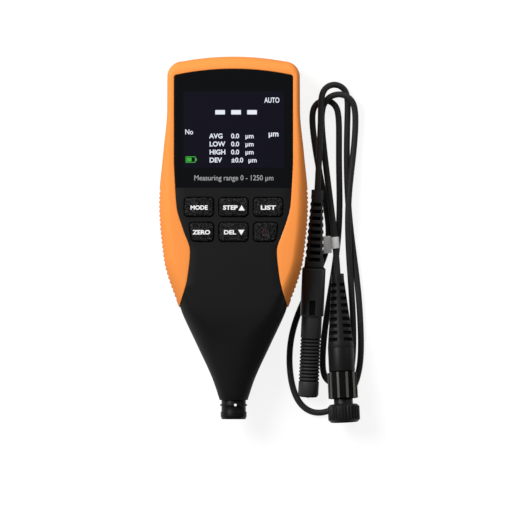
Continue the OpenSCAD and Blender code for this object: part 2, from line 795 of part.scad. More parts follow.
// Tapered strain relief with rows of windows on each side of it
module relief(length, thin_r, thick_r, turns) {
    window_h = 1.6;
    window_depth = 1.3;
    difference() {
        rotate_extrude()
            polygon([[0, 0], [thin_r, 0], [thin_r, 2.4], [thick_r, length - fit], [0, length - fit]]);
        for (i = [0:window_rows - 1], t = turns) {
            s = length - 3.4 - (i + t[1]) * window_pitch;
            r = thin_r + (thick_r - thin_r) * s / length;
            rotate([0, 0, t[0]]) translate([r - window_depth, -r * t[2], s - window_h / 2])
                cube([window_depth + past, 2 * r * t[2], window_h]);
        }
    }
}
module lead_probe_relief() {
    color("#1b1b1d") pen() relief(pen_relief_length, relief_thin_r, pen_relief_r,
        [[90, 0, 0.62], [-90, 0, 0.62], [0, 0.5, 0.45], [180, 0.5, 0.45]]);
}
module lead_probe_body() {
    r = pen_d / 2;
    l = pen_body_length - fit;
    slot_w = 2.7;
    slot_length = 6.8;
    color("#1d1d1f") pen(pen_relief_length) difference() {
        rotate_extrude() polygon([[0, 0], [r - 1, 0], [r, 1], [r, l - 0.4], [r - 0.4, l], [0, l]]);
        translate([-slot_w / 2, r - 0.8, l - slot_length - 0.6]) cube([slot_w, past + 1, slot_length]);
    }
}
module lead_probe_grip() {
    r = pen_grip_d / 2;
    pitch = 1.57;
    groove = 0.4;
    first = pen_grip_length - 6.3 - pen_ribs * pitch;
    hole_r = 3.4;
    hole_depth = 4;
    color("#19191b") pen(pen_relief_length + pen_body_length) rotate_extrude() polygon(concat(
        [[0, 0], [r, 0]],
        [for (i = [0:pen_ribs - 1]) each [
            [r, first + i * pitch], [r - groove, first + (i + 0.12) * pitch],
            [r - groove, first + (i + 0.45) * pitch], [r, first + (i + 0.57) * pitch]
        ]],
        [[r, pen_grip_length - 1], [r - 0.7, pen_grip_length], [hole_r, pen_grip_length],
            [hole_r, pen_grip_length - hole_depth], [0, pen_grip_length - hole_depth]]
    ));
}
module lead_probe_tip() {
    seat = 4 - fit;
    tip_r = 1.2;
    color("#8c8f94") pen(pen_relief_length + pen_body_length + pen_grip_length - seat) {
        cylinder(h = seat - 1.4, r = 3.3);
        cylinder(h = seat - 0.6, r = tip_r);
        translate([0, 0, seat - 0.6]) sphere(tip_r);
    }
}
module lead_plug_relief() {
    color("#1b1b1d") plug() relief(plug_relief_length, plug_relief_thin_r, plug_d / 2,
        [for (a = [45:90:315]) [a, 0, 0.5]]);
}
module lead_plug_body() {
    r = plug_d / 2;
    l = plug_body_length - fit;
    color("#1d1d1f") plug(plug_relief_length)
        rotate_extrude() polygon([[0, 0], [r, 0], [r, l - 0.5], [r - 0.5, l], [0, l]]);
}
module lead_plug_shell() {
    r = plug_shell_d / 2;
    l = plug_shell_length - fit;
    fin_w = 1;
    fin = 0.35;
    color("#222224") plug(plug_relief_length + plug_body_length) {
        cylinder(h = l, r = r - fin, $fn = plug_sides);
        for (i = [0:plug_sides - 1]) rotate([0, 0, i * 360 / plug_sides])
            translate([r - 1.2, -fin_w / 2, 0]) cube([1.2, fin_w, l]);
    }
}
module lead_plug_core() {
    neck_r = plug_neck_d / 2;
    web = plug_ring_length - 5.5;
    flange_z = plug_neck_length + web + loose;
    pin_r = 0.5;
    pin_ring_r = 2;
    pin_length = 4.6;
    color("#2a2a2c") plug(plug_relief_length + plug_body_length + plug_shell_length) {
        cylinder(h = flange_z + past, r = neck_r);
        translate([0, 0, flange_z]) cylinder(h = 1.2, r = neck_r + 0.9);
        translate([0, 0, flange_z]) cylinder(h = 3, r = neck_r - 0.4);
        for (a = [45:90:315])
            rotate([0, 0, a]) translate([pin_ring_r, 0, flange_z]) cylinder(h = pin_length, r = pin_r);
    }
}
module lead_plug_ring() {
    r = plug_ring_d / 2;
    l = plug_ring_length;
    groove = 0.35;
    web = l - 5.5;
    bore_r = r - 1.1;
    color("#1a1a1c") plug(plug_relief_length + plug_body_length + plug_shell_length + plug_neck_length) {
        difference() {
            intersection() {
                linear_extrude(l) polygon([for (i = [0:knurls - 1], k = [0:3])
                    let (a = (i + k / 4) * 360 / knurls, q = k < 2 ? r : r - groove)
                    q * [cos(a), sin(a)]]);
                rotate_extrude() polygon([[0, 0], [r - 1, 0], [r, 1], [r, l - 1.2], [r - 1.2, l], [0, l]]);
            }
            translate([0, 0, -past]) cylinder(h = l, r = plug_neck_d / 2 + running);
            translate([0, 0, web]) cylinder(h = l, r = bore_r);
        }
    }
}

// Cord: a tube swept along a smooth line that its route's points pull into shape
route_last = len(cord_route) - 1;
function route_point(i) =
    i < 0 ? 2 * cord_route[0] - cord_route[1]
    : i > route_last ? 2 * cord_route[route_last] - cord_route[route_last - 1]
    : cord_route[i];
function on_route(i, t) = (
    pow(1 - t, 3) * route_point(i - 1) + (3 * pow(t, 3) - 6 * t * t + 4) * route_point(i)
    + (1 + 3 * t + 3 * t * t - 3 * pow(t, 3)) * route_point(i + 1) + pow(t, 3) * route_point(i + 2)
) / 6;
function unit(v) = v / norm(v);
module lead_cord() {
    spots = [
        for (i = [0:route_last - 1], k = [0:cord_steps - 1]) on_route(i, k / cord_steps),
        route_point(route_last)
    ];
    last = len(spots) - 1;
    color("#151516") skin([for (i = [0:last])
        let (
            ahead = unit(spots[min(last, i + 1)] - spots[max(0, i - 1)]),
            across = unit(cross(ahead, [0, 0, 1])),
            up = cross(across, ahead)
        )
        [for (j = [cord_sides - 1:-1:0])
            let (a = (j + 0.5) * 360 / cord_sides)
            spots[i] + cord_r * (cos(a) * across + sin(a) * up)]]);
}
module lead_tag() {
    flag = [3.6, 7.8];
    band_length = 5.2;
    flag_drop = 0.5;
    paper = 0.25;
    color("white") translate(tag_at) rotate([0, 0, tag_turn[2]]) rotate([tag_turn[0], 0, 0]) {
        rotate([90, 0, 0]) difference() {
            cylinder(h = band_length, r = cord_r + tag_gap + paper, center = true);
            cylinder(h = 2 * band_length, r = cord_r + tag_gap, center = true);
        }
        translate([-cord_r - tag_gap - paper / 2 - flag[0], -flag[1] / 2 - flag_drop, -paper / 2])
            cube([flag[0], flag[1], paper]);
    }
}

front_case();
rear_case();
grip_band();
display_window();
display_module();
circuit_board();
board_screws();
keypad_mat();
switch_domes();
key_at(-1, 0);  // key_upper_left
key_at(0, 0);  // key_upper_middle
key_at(1, 0);  // key_upper_right
key_at(-1, 1);  // key_lower_left
key_at(0, 1);  // key_lower_middle
key_at(1, 1);  // key_lower_right
battery_cell(-1);  // battery_cell_left
battery_cell(1);  // battery_cell_right
battery_contacts();
battery_door();
battery_door_screw();
case_screws();
nose_bush();
probe_sleeve();
probe_core();
probe_spring();
probe_ribbon();
lead_cord();
lead_tag();
lead_probe_relief();
lead_probe_body();
lead_probe_grip();
lead_probe_tip();
lead_plug_relief();
lead_plug_body();
lead_plug_shell();
lead_plug_core();
lead_plug_ring();
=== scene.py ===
"""A coating thickness gauge on its back, with its probe lead beside it, seen from straight above."""
import math

import bpy
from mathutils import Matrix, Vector


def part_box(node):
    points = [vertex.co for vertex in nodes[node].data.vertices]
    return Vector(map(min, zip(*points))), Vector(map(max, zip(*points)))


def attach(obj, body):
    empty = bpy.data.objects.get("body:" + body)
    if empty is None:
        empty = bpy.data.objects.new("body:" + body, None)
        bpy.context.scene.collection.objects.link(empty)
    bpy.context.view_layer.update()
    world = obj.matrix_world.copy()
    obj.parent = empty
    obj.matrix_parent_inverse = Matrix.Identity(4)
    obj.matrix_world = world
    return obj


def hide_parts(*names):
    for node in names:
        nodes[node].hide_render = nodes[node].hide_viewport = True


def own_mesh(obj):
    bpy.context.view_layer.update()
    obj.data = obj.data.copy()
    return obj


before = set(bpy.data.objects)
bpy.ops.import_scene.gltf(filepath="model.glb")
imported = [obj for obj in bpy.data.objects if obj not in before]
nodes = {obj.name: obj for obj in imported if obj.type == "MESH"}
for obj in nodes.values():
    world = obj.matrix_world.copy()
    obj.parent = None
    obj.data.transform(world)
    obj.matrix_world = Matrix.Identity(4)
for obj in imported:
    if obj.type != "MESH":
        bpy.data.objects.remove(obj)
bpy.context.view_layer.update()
bpy.ops.object.select_all(action="DESELECT")

# Sizes in millimetres, as in the solids apart from the housing's front corners and the face's corners,
# which are a little tighter here
MM = 0.001
DEPTH = 30.0
SEAM_Z = DEPTH / 2
SEAM_GAP = 0.03
FACE_DROP = 0.4
WALL = 2.0
JOINT_GAP = 0.05
TOP_Y = 81.4
NOSE_Y = -72.9
SHOULDER_Y = 57.5
HEAD_BOW_LENGTH = 17.0
ARCH_R = 125.0
CORNER_R = 7.0
TOP_ROUND = 5.0
FACE_TOP_Y = 75.8
FACE_CORNER_R = 1.4

# The housing along its length: place, half width, fall of both faces, then width, depth and power of the
# front corners and radius of the back corners
HOUSING = (
    (-72.9, 6.7, 8.3, 6.4, 6.2, 2.0, 6.2),
    (-63.9, 9.7, 6.0, 9.2, 8.4, 2.0, 8.4),
    (-47.9, 17.0, 2.8, 14.0, 11.4, 2.0, 11.0),
    (-31.5, 24.4, 0.4, 8.0, 9.0, 1.8, 9.0),
    (-9.0, 31.5, 0.0, 5.4, 7.4, 1.55, 7.0),
    (15.0, 33.5, 0.0, 5.0, 6.6, 1.6, 6.5),
    (38.05, 31.6, 0.0, 3.0, 4.0, 1.8, 5.0),
    (57.5, 29.8, 0.0, 2.0, 2.6, 2.0, 4.0),
    (81.5, 29.7, 0.0, 2.0, 2.6, 2.0, 4.0),
)
# Half width of the black face along its length, down to where the band ends
FACE = (
    (-37.5, 26.0), (-29.0, 23.6), (-18.0, 20.7), (-6.0, 19.5), (3.5, 22.5), (14.0, 25.5), (33.0, 26.7),
)

WINDOW_LOW_Y = 22.55
WINDOW_Z = 29.65
WINDOW_T = 1.2
WINDOW_FLOOR_Z = 28.4
LIT_MIDDLE = (0.0, 48.6)
LIT_SIZE = (45.0, 34.2)

KEY_W = 12.9
KEY_H = 8.3
KEY_PITCH_X = 15.5
KEY_ROWS_Y = (13.85, 2.7)
KEY_ROUND = 1.6
KEY_GAP = 0.5
KEY_TRIM = {1: 2.0, -1: 3.3}
KEY_LOW_Z = 26.3
KEY_TOP_Z = 30.2

SLEEVE_R = 5.5
NOSE_BORE_R = 5.8
DOT_PLACE = (0.8, -75.08)
DOT_TOP_R = 6.12
DOT_R = 0.62
DOT_SINK = 0.3

SCREW_PLACES = ((-20.0, 71.0), (20.0, 71.0), (-16.0, -30.0), (16.0, -30.0))
SCREW_HOLE_R = 2.6
SCREW_HOLE_DEPTH = 10.0
DOOR_ROUND = 3.15
DOOR_GAP = 0.15

# The lead: place, pitch and yaw of the pen probe and the plug where the cord leaves them, then sizes of
# both, and the cord between them
PROBE_END = ((37.75, 21.6, 12.4), 4.7, -2.57)
PLUG_END = ((46.8, -16.2, 6.2), -4.1, 2.6)
PEN_R = 5.3
PEN_SLOT_SKIN = 0.4
PEN_GRIP_R = 4.6
PLUG_SHELL_R = 6.65
GROOVE_SKIN = 0.25
# Radius at the thin and the thick end of each strain relief, and its length
PROBE_RELIEF = (2.7, 4.4, 34.6)
PLUG_RELIEF = (2.85, 5.9, 33.3)
RELIEF_COLLAR = 2.4
RELIEF_SKIN = 0.35
CORD_START = 0.05
CORD_STRAIGHT = 3.0
CORD_D = 2.8
CORD_ROUTE = (
    (38.5, 36, 12), (39.4, 54, 9), (39.2, 63.4, 7.5), (41, 67.9, 6.3), (45.4, 69.8, 4.7), (49.9, 67.9, 3),
    (51.7, 63.4, 1.5), (51.2, 52, 1.4), (50.8, 26, 1.4), (52.7, 2, 1.4), (56.3, -22, 1.4), (57.6, -44, 1.4),
    (57.4, -60, 1.4), (51.8, -74, 1.4), (38.3, -81, 1.4), (28, -75, 1.4), (24.6, -59, 1.4),
    (25.6, -43, 1.4), (31.4, -28, 1.4), (39.5, -13, 1.4), (43.8, 0, 1.4), (41.6, 15, 1.4), (37.4, 36, 1.4),
    (34.8, 54.8, 1.4), (36.5, 60.6, 1.4), (41.3, 62.8, 1.4), (46.1, 60.6, 1.4), (47.8, 54.8, 1.4),
    (47.3, 34, 1.4), (48.2, 10, 1.4), (46, -12, 1.4), (41.2, -38, 1.4), (39.5, -58.8, 1.4),
    (41.6, -64.4, 1.4), (46.6, -66.6, 1.4), (51.6, -64.4, 1.4), (53.6, -58.8, 1.4), (54.3, -42, 1.4),
    (52.9, -20, 2.4), (51.4, 0, 4.4), (51.6, 20, 5), (54.4, 40, 2.3), (55.4, 57.6, 3.5), (53.1, 63.2, 5.1),
    (47.4, 65.6, 5.2), (41.7, 63.2, 4.9), (39.3, 57.4, 4), (40, 46, 2), (42.6, 24, 2.8), (45.6, 1, 5.2),
    (46.2, -8.5, 5.8),
)

# The view: one pixel of the photo at mid depth of the case, the pixel over the origin, and what the view is
# centred on
PIXEL = 0.45
PHOTO_SIDE = 526
ORIGIN_PIXEL = (233.75, 238.0)
VIEW_MIDDLE = (13.2, -11.25)
CAMERA_HEIGHT = 4000.0
SENSOR_WIDTH = 36.0

# Out past the housing, for cutters and for the face where no band bounds it
PAST_X = 40.0
PAST_Y = 90.0
PAST_FRONT_Z = 33.0
PAST_BACK_Z = -1.0


# Curves through tables

def rise(rows, i, column):
    return (rows[i + 1][column] - rows[i][column]) / (rows[i + 1][0] - rows[i][0])


def slope(rows, i, column):
    if i == 0:
        return rise(rows, 0, column)
    if i == len(rows) - 1:
        return rise(rows, i - 1, column)
    before, after = rise(rows, i - 1, column), rise(rows, i, column)
    return 0.0 if before * after <= 0 else 2 * before * after / (before + after)


def along(rows, y, column):
    """A column of a table at any place, smooth and with no overshoot between the rows."""
    y = min(max(y, rows[0][0]), rows[-1][0])
    i = max(k for k in range(len(rows) - 1) if rows[k][0] <= y)
    length = rows[i + 1][0] - rows[i][0]
    t = (y - rows[i][0]) / length
    return (
        rows[i][column] * (1 + 2 * t) * (1 - t) ** 2 + slope(rows, i, column) * length * t * (1 - t) ** 2
        + rows[i + 1][column] * t * t * (3 - 2 * t) - slope(rows, i + 1, column) * length * t * t * (1 - t)
    )


def end_fall(y, radius, end):
    """How far a rounded end has fallen away at y."""
    past = y - end + radius
    return 0.0 if past <= 0 else radius - math.sqrt(max(0.0, radius * radius - past * past))


def head_bow(y):
    """How much of the arch of the top a station takes, from 0 below the shoulder to 1 at the top."""
    t = min(1.0, max(0.0, (y - SHOULDER_Y) / HEAD_BOW_LENGTH))
    return t * t * (3 - 2 * t)


def arch_fall(x):
    return ARCH_R - math.sqrt(ARCH_R * ARCH_R - x * x)


def face_half(y):
    """Half width of the black face, with the rounded corners of its arched top."""
    half = along(FACE, y, 1)
    if y < FACE[0][0]:
        half = PAST_X
    return half - end_fall(min(y, FACE_TOP_Y), FACE_CORNER_R, FACE_TOP_Y)


# Working in edit mode

def only(*pieces):
    bpy.ops.object.select_all(action="DESELECT")
    for piece in pieces:
        piece.select_set(True)
    bpy.context.view_layer.objects.active = pieces[0]


def edit(piece):
    only(piece)
    bpy.ops.object.mode_set(mode="EDIT")
    bpy.ops.mesh.select_all(action="SELECT")


def leave_edit():
    bpy.ops.object.mode_set(mode="OBJECT")


def modify(piece, kind, **settings):
    """Adds a modifier with these settings and applies it."""
    only(piece)
    modifier = piece.modifiers.new(kind.title(), kind)
    for setting, value in settings.items():
        setattr(modifier, setting, value)
    bpy.ops.object.modifier_apply(modifier=modifier.name)


def round_edges(piece, width, segments=3, angle=50):
    modify(piece, "BEVEL", width=width * MM, segments=segments, limit_method="ANGLE",
           angle_limit=math.radians(angle), harden_normals=False)


def cut(piece, *cutters):
    """Takes each cutter out of the piece."""
    for cutter in cutters:
        modify(piece, "BOOLEAN", operation="DIFFERENCE", solver="EXACT", object=cutter)
        bpy.data.objects.remove(cutter, do_unlink=True)


def close_up(piece):
    """Merges what meets, fills what is open and turns the faces outwards."""
    edit(piece)
    bpy.ops.mesh.remove_doubles(threshold=0.0005 * MM)
    bpy.ops.mesh.select_all(action="DESELECT")
    bpy.ops.mesh.select_mode(type="EDGE")
    bpy.ops.mesh.select_non_manifold(extend=False, use_wire=False, use_multi_face=False,
                                     use_non_contiguous=False, use_verts=False)
    bpy.ops.mesh.fill_holes(sides=0)
    bpy.ops.mesh.select_all(action="SELECT")
    bpy.ops.mesh.normals_make_consistent(inside=False)
    bpy.ops.mesh.select_mode(type="VERT")
    leave_edit()


def shaped_grid(name, across, down, place):
    """A grid with each corner, counted across and down, put where place says in millimetres."""
    bpy.ops.object.select_all(action="DESELECT")
    bpy.ops.mesh.primitive_grid_add(x_subdivisions=across, y_subdivisions=down, size=1)
    piece = bpy.context.object
    piece.name = name
    for corner in piece.data.vertices:
        i = round((corner.co.x + 0.5) * across)
        j = round((corner.co.y + 0.5) * down)
        corner.co = Vector(place(i, j)) * MM
    return piece


def box_cutter(low, high):
    bpy.ops.object.select_all(action="DESELECT")
    middle = [(a + b) / 2 * MM for a, b in zip(low, high)]
    bpy.ops.mesh.primitive_cube_add(size=1, location=middle)
    cutter = bpy.context.object
    cutter.scale = [(b - a) * MM for a, b in zip(low, high)]
    bpy.ops.object.transform_apply(location=True, rotation=True, scale=True)
    return cutter


def drill(x, y, low, high, radius, sides=40):
    """A cutter for a round hole along Z."""
    bpy.ops.object.select_all(action="DESELECT")
    bpy.ops.mesh.primitive_cylinder_add(vertices=sides, radius=radius * MM, depth=(high - low) * MM,
                                        location=(x * MM, y * MM, (low + high) / 2 * MM))
    cutter = bpy.context.object
    bpy.ops.object.transform_apply(location=True, rotation=True, scale=True)
    return cutter


def plan_block(name, corners, rounding, low, high, segments=6):
    """An upright block on a plan with four rounded corners; its top is left selected in edit mode."""
    bpy.ops.object.select_all(action="DESELECT")
    bpy.ops.mesh.primitive_plane_add(size=2)
    block = bpy.context.object
    block.name = name
    for corner in block.data.vertices:
        x, y = corners[(1 if corner.co.x > 0 else -1, 1 if corner.co.y > 0 else -1)]
        corner.co = Vector((x, y, low)) * MM
    edit(block)
    bpy.ops.mesh.bevel(offset=rounding * MM, segments=segments, affect="VERTICES")
    bpy.ops.mesh.extrude_region_move(TRANSFORM_OT_translate={"value": (0, 0, (high - low) * MM)})
    return block


def face_outwards(piece):
    edit(piece)
    bpy.ops.mesh.normals_make_consistent(inside=False)
    leave_edit()


def finished(piece, body, finish, replaced=(), smooth=35):
    """Smooths a piece, gives it its finish and hangs it on its body."""
    only(piece)
    if smooth:
        bpy.ops.object.shade_smooth_by_angle(angle=math.radians(smooth))
    piece.data.materials.clear()
    piece.data.materials.append(finish)
    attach(piece, body)
    if replaced:
        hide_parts(*replaced)
    return piece


def dressed(node, body, finish, rounding=0.0, segments=2, smooth=35, angle=40):
    """A merged copy of a CAD node with its edges rounded, which stands for the node."""
    mesh = nodes[node].data.copy()
    piece = bpy.data.objects.new(node + "_finished", mesh)
    bpy.context.collection.objects.link(piece)
    only(piece)
    bpy.ops.mesh.customdata_custom_splitnormals_clear()
    edit(piece)
    bpy.ops.mesh.remove_doubles(threshold=0.002 * MM)
    bpy.ops.mesh.dissolve_limited(angle_limit=math.radians(0.4))
    leave_edit()
    if rounding:
        round_edges(piece, rounding, segments, angle)
    return finished(piece, body, finish, (node,), smooth)


# Finishes

def new_group(name, inputs, outputs):
    group = bpy.data.node_groups.new(name, "ShaderNodeTree")
    for label, kind, value in inputs:
        socket = group.interface.new_socket(name=label, in_out="INPUT", socket_type=kind)
        if value is not None:
            socket.default_value = value
    for label, kind in outputs:
        group.interface.new_socket(name=label, in_out="OUTPUT", socket_type=kind)
    return group, group.nodes.new("NodeGroupInput"), group.nodes.new("NodeGroupOutput")


def make_moulded_grain():
    """Spark-eroded grain of a mould and the slow drift of sheen and tint over a moulding."""
    group, given, out = new_group(
        "moulded_grain",
        [("Vector", "NodeSocketVector", None), ("Grain", "NodeSocketFloat", 2500.0),
         ("Drift", "NodeSocketFloat", 60.0), ("Color", "NodeSocketColor", (0.5, 0.5, 0.5, 1)),
         ("Tint Range", "NodeSocketFloat", 0.1), ("Roughness", "NodeSocketFloat", 0.5),
         ("Roughness Range", "NodeSocketFloat", 0.1)],
        [("Color", "NodeSocketColor"), ("Roughness", "NodeSocketFloat"), ("Height", "NodeSocketFloat")],
    )
    link = group.links.new
    fine = group.nodes.new("ShaderNodeTexNoise")
    fine.inputs["Detail"].default_value = 2.0
    fine.inputs["Roughness"].default_value = 0.6
    slow = group.nodes.new("ShaderNodeTexNoise")
    slow.inputs["Detail"].default_value = 3.0
    link(given.outputs["Vector"], fine.inputs["Vector"])
    link(given.outputs["Vector"], slow.inputs["Vector"])
    link(given.outputs["Grain"], fine.inputs["Scale"])
    link(given.outputs["Drift"], slow.inputs["Scale"])

    def spread(source, middle, width):
        low = group.nodes.new("ShaderNodeMath")
        low.operation = "SUBTRACT"
        low.inputs[1].default_value = 0.5
        link(source, low.inputs[0])
        wide = group.nodes.new("ShaderNodeMath")
        wide.operation = "MULTIPLY_ADD"
        link(low.outputs[0], wide.inputs[0])
        link(width, wide.inputs[1])
        if isinstance(middle, float):
            wide.inputs[2].default_value = middle
        else:
            link(middle, wide.inputs[2])
        return wide.outputs[0]

    mixed = group.nodes.new("ShaderNodeMath")
    mixed.operation = "MULTIPLY_ADD"
    mixed.inputs[1].default_value = 0.5
    link(fine.outputs["Fac"], mixed.inputs[0])
    half = group.nodes.new("ShaderNodeMath")
    half.operation = "MULTIPLY"
    half.inputs[1].default_value = 0.5
    link(slow.outputs["Fac"], half.inputs[0])
    link(half.outputs[0], mixed.inputs[2])
    tint = group.nodes.new("ShaderNodeHueSaturation")
    link(given.outputs["Color"], tint.inputs["Color"])
    link(spread(mixed.outputs[0], 1.0, given.outputs["Tint Range"]), tint.inputs["Value"])
    link(tint.outputs["Color"], out.inputs["Color"])
    link(spread(slow.outputs["Fac"], given.outputs["Roughness"], given.outputs["Roughness Range"]),
         out.inputs["Roughness"])
    link(fine.outputs["Fac"], out.inputs["Height"])
    return group


moulded_grain = make_moulded_grain()


def new_finish(name):
    finish = bpy.data.materials.new(name)
    finish.use_nodes = True
    tree = finish.node_tree
    tree.nodes.clear()
    out = tree.nodes.new("ShaderNodeOutputMaterial")
    surface = tree.nodes.new("ShaderNodeBsdfPrincipled")
    tree.links.new(surface.outputs["BSDF"], out.inputs["Surface"])
    place = tree.nodes.new("ShaderNodeTexCoord")
    return finish, tree, surface, place


def colour(red, green, blue):
    """A colour as read off a screen, from 0 to 255, in linear light."""
    def linear(v):
        v /= 255.0
        return v / 12.92 if v <= 0.04045 else ((v + 0.055) / 1.055) ** 2.4
    return (linear(red), linear(green), linear(blue), 1.0)


def moulded(name, tint, roughness, grain=2500.0, depth=0.01, drift=60.0, tint_range=0.12, rough_range=0.12,
            stretch=(1, 1, 1), metallic=0.0, specular=0.5, coat=0.0):
    """A moulded or turned finish: tint, sheen and a fine grain, stretched along a direction if given."""
    finish, tree, surface, place = new_finish(name)
    grains = tree.nodes.new("ShaderNodeGroup")
    grains.node_tree = moulded_grain
    grains.inputs["Grain"].default_value = grain
    grains.inputs["Drift"].default_value = drift
    grains.inputs["Color"].default_value = tint
    grains.inputs["Tint Range"].default_value = tint_range
    grains.inputs["Roughness"].default_value = roughness
    grains.inputs["Roughness Range"].default_value = rough_range
    mapping = tree.nodes.new("ShaderNodeMapping")
    mapping.inputs["Scale"].default_value = stretch
    tree.links.new(place.outputs["Object"], mapping.inputs["Vector"])
    tree.links.new(mapping.outputs["Vector"], grains.inputs["Vector"])
    bump = tree.nodes.new("ShaderNodeBump")
    bump.inputs["Strength"].default_value = 1.0
    bump.inputs["Distance"].default_value = depth * MM
    tree.links.new(grains.outputs["Height"], bump.inputs["Height"])
    tree.links.new(grains.outputs["Color"], surface.inputs["Base Color"])
    tree.links.new(grains.outputs["Roughness"], surface.inputs["Roughness"])
    tree.links.new(bump.outputs["Normal"], surface.inputs["Normal"])
    surface.inputs["Metallic"].default_value = metallic
    surface.inputs["Specular IOR Level"].default_value = specular
    surface.inputs["Coat Weight"].default_value = coat
    return finish


def glowing(name, tint, strength, uneven=0.12):
    """A lit part of the display, a little uneven from the backlight."""
    finish, tree, surface, place = new_finish(name)
    noise = tree.nodes.new("ShaderNodeTexNoise")
    noise.inputs["Scale"].default_value = 120.0
    tree.links.new(place.outputs["Object"], noise.inputs["Vector"])
    ramp = tree.nodes.new("ShaderNodeValToRGB")
    ramp.color_ramp.elements[0].color = [v * (1 - uneven) for v in tint[:3]] + [1]
    ramp.color_ramp.elements[1].color = tint
    tree.links.new(noise.outputs["Fac"], ramp.inputs["Fac"])
    tree.links.new(ramp.outputs["Color"], surface.inputs["Emission Color"])
    surface.inputs["Emission Strength"].default_value = strength
    surface.inputs["Base Color"].default_value = (0.01, 0.01, 0.01, 1)
    surface.inputs["Roughness"].default_value = 0.3
    return finish


case_black = moulded("case_black", colour(21, 21, 22), 0.55, grain=3200, depth=0.012, tint_range=0.25,
                     specular=0.12)
grip_orange = moulded("grip_orange", colour(243, 146, 70), 0.6, grain=2600, depth=0.008, tint_range=0.06,
                      specular=0.1)
window_black = moulded("window_black", colour(11, 12, 14), 0.14, grain=300, depth=0.0008, tint_range=0.1,
                       rough_range=0.05, specular=0.25)
panel_dark = moulded("panel_dark", colour(16, 15, 27), 0.18, grain=4000, depth=0.001, tint_range=0.2,
                     rough_range=0.05, specular=0.25)
key_black = moulded("key_black", colour(20, 20, 21), 0.6, grain=1500, depth=0.1, drift=2300.0,
                    tint_range=36.0, rough_range=0.3, specular=0.08)
sleeve_black = moulded("sleeve_black", colour(16, 16, 17), 0.4, grain=1500, depth=0.006,
                       stretch=(1, 0.2, 1), specular=0.12)
relief_black = moulded("relief_black", colour(24, 24, 25), 0.5, grain=2600, depth=0.012, tint_range=0.3,
                       specular=0.15)
# Painted shade: near black for the floors of slots and grooves and the gaps between the plug's fins
painted_recess_shade = moulded("painted_recess_shade", colour(8, 8, 8), 0.8, grain=2600, depth=0.012, tint_range=0.2,
                       specular=0.1)
lead_black = moulded("lead_black", colour(22, 22, 23), 0.4, grain=2200, depth=0.006, tint_range=0.2,
                     specular=0.12)
# The pen's finishes are lighter than the plug's black: painted light that makes up for the gauge's shadow
# over the pen
pen_black_painted_light = moulded("pen_black_painted_light", colour(48, 48, 48), 0.4, grain=2200, depth=0.006, tint_range=0.2,
                    specular=0.2)
pen_grip_black_painted_light = moulded("pen_grip_black_painted_light", colour(48, 48, 48), 0.5, grain=2600, depth=0.012,
                         tint_range=0.3, specular=0.15)
# Painted highlight: light grey for the tops of the plug shell's fins
fin_painted_highlight = moulded("fin_painted_highlight", colour(84, 82, 79), 0.35, grain=2200, depth=0.004, tint_range=0.2,
                    specular=0.3)
ring_black = moulded("ring_black", colour(23, 23, 24), 0.4, grain=2400, depth=0.006, tint_range=0.25,
                     specular=0.12)
# Lighter than the plug's black: painted light that makes up for the gauge's shadow over the cord
cord_black = moulded("cord_black", colour(48, 47, 47), 0.5, grain=1800, depth=0.012, tint_range=0.25,
                     specular=0.1)
tag_white = moulded("tag_white", colour(236, 236, 234), 0.75, grain=1500, depth=0.01, tint_range=0.08)
print_white = moulded("print_white", colour(240, 240, 240), 0.5, grain=2500, depth=0.004, tint_range=0.06)
print_grey = moulded("print_grey", colour(150, 150, 152), 0.5, grain=2500, depth=0.004, tint_range=0.1)
print_red = moulded("print_red", colour(58, 22, 22), 0.5, grain=2500, depth=0.004, tint_range=0.15)
steel = moulded("steel", colour(190, 190, 192), 0.32, grain=900, depth=0.004, stretch=(1, 1, 0.15),
                metallic=1.0)
probe_steel = moulded("probe_steel", colour(205, 205, 208), 0.22, grain=1100, depth=0.003, metallic=1.0)
bush_brass = moulded("bush_brass", colour(205, 170, 96), 0.3, grain=1100, depth=0.003, metallic=1.0)
mat_grey = moulded("mat_grey", colour(96, 98, 102), 0.7, grain=2200, depth=0.01)
board_green = moulded("board_green", colour(20, 84, 48), 0.35, grain=700, depth=0.01, tint_range=0.4)
display_dark = moulded("display_dark", colour(52, 54, 60), 0.3, grain=800, depth=0.003)
cell_wrap = moulded("cell_wrap", colour(58, 66, 78), 0.3, grain=900, depth=0.003)
ribbon_amber = moulded("ribbon_amber", colour(176, 108, 40), 0.3, grain=900, depth=0.003, tint_range=0.25)
glow_white = glowing("glow_white", colour(236, 241, 252), 1.0)
glow_green = glowing("glow_green", colour(58, 180, 52), 1.0)


# Camera, floor and light

camera_data = bpy.data.cameras.new("camera")
camera_data.sensor_width = SENSOR_WIDTH
camera_data.lens = SENSOR_WIDTH * (CAMERA_HEIGHT - SEAM_Z) / (PHOTO_SIDE * PIXEL)
camera_data.clip_end = 20.0
camera = bpy.data.objects.new("camera", camera_data)
camera.location = (VIEW_MIDDLE[0] * MM, VIEW_MIDDLE[1] * MM, CAMERA_HEIGHT * MM)
bpy.context.collection.objects.link(camera)
bpy.context.scene.camera = camera
bpy.context.scene.view_settings.view_transform = "Standard"

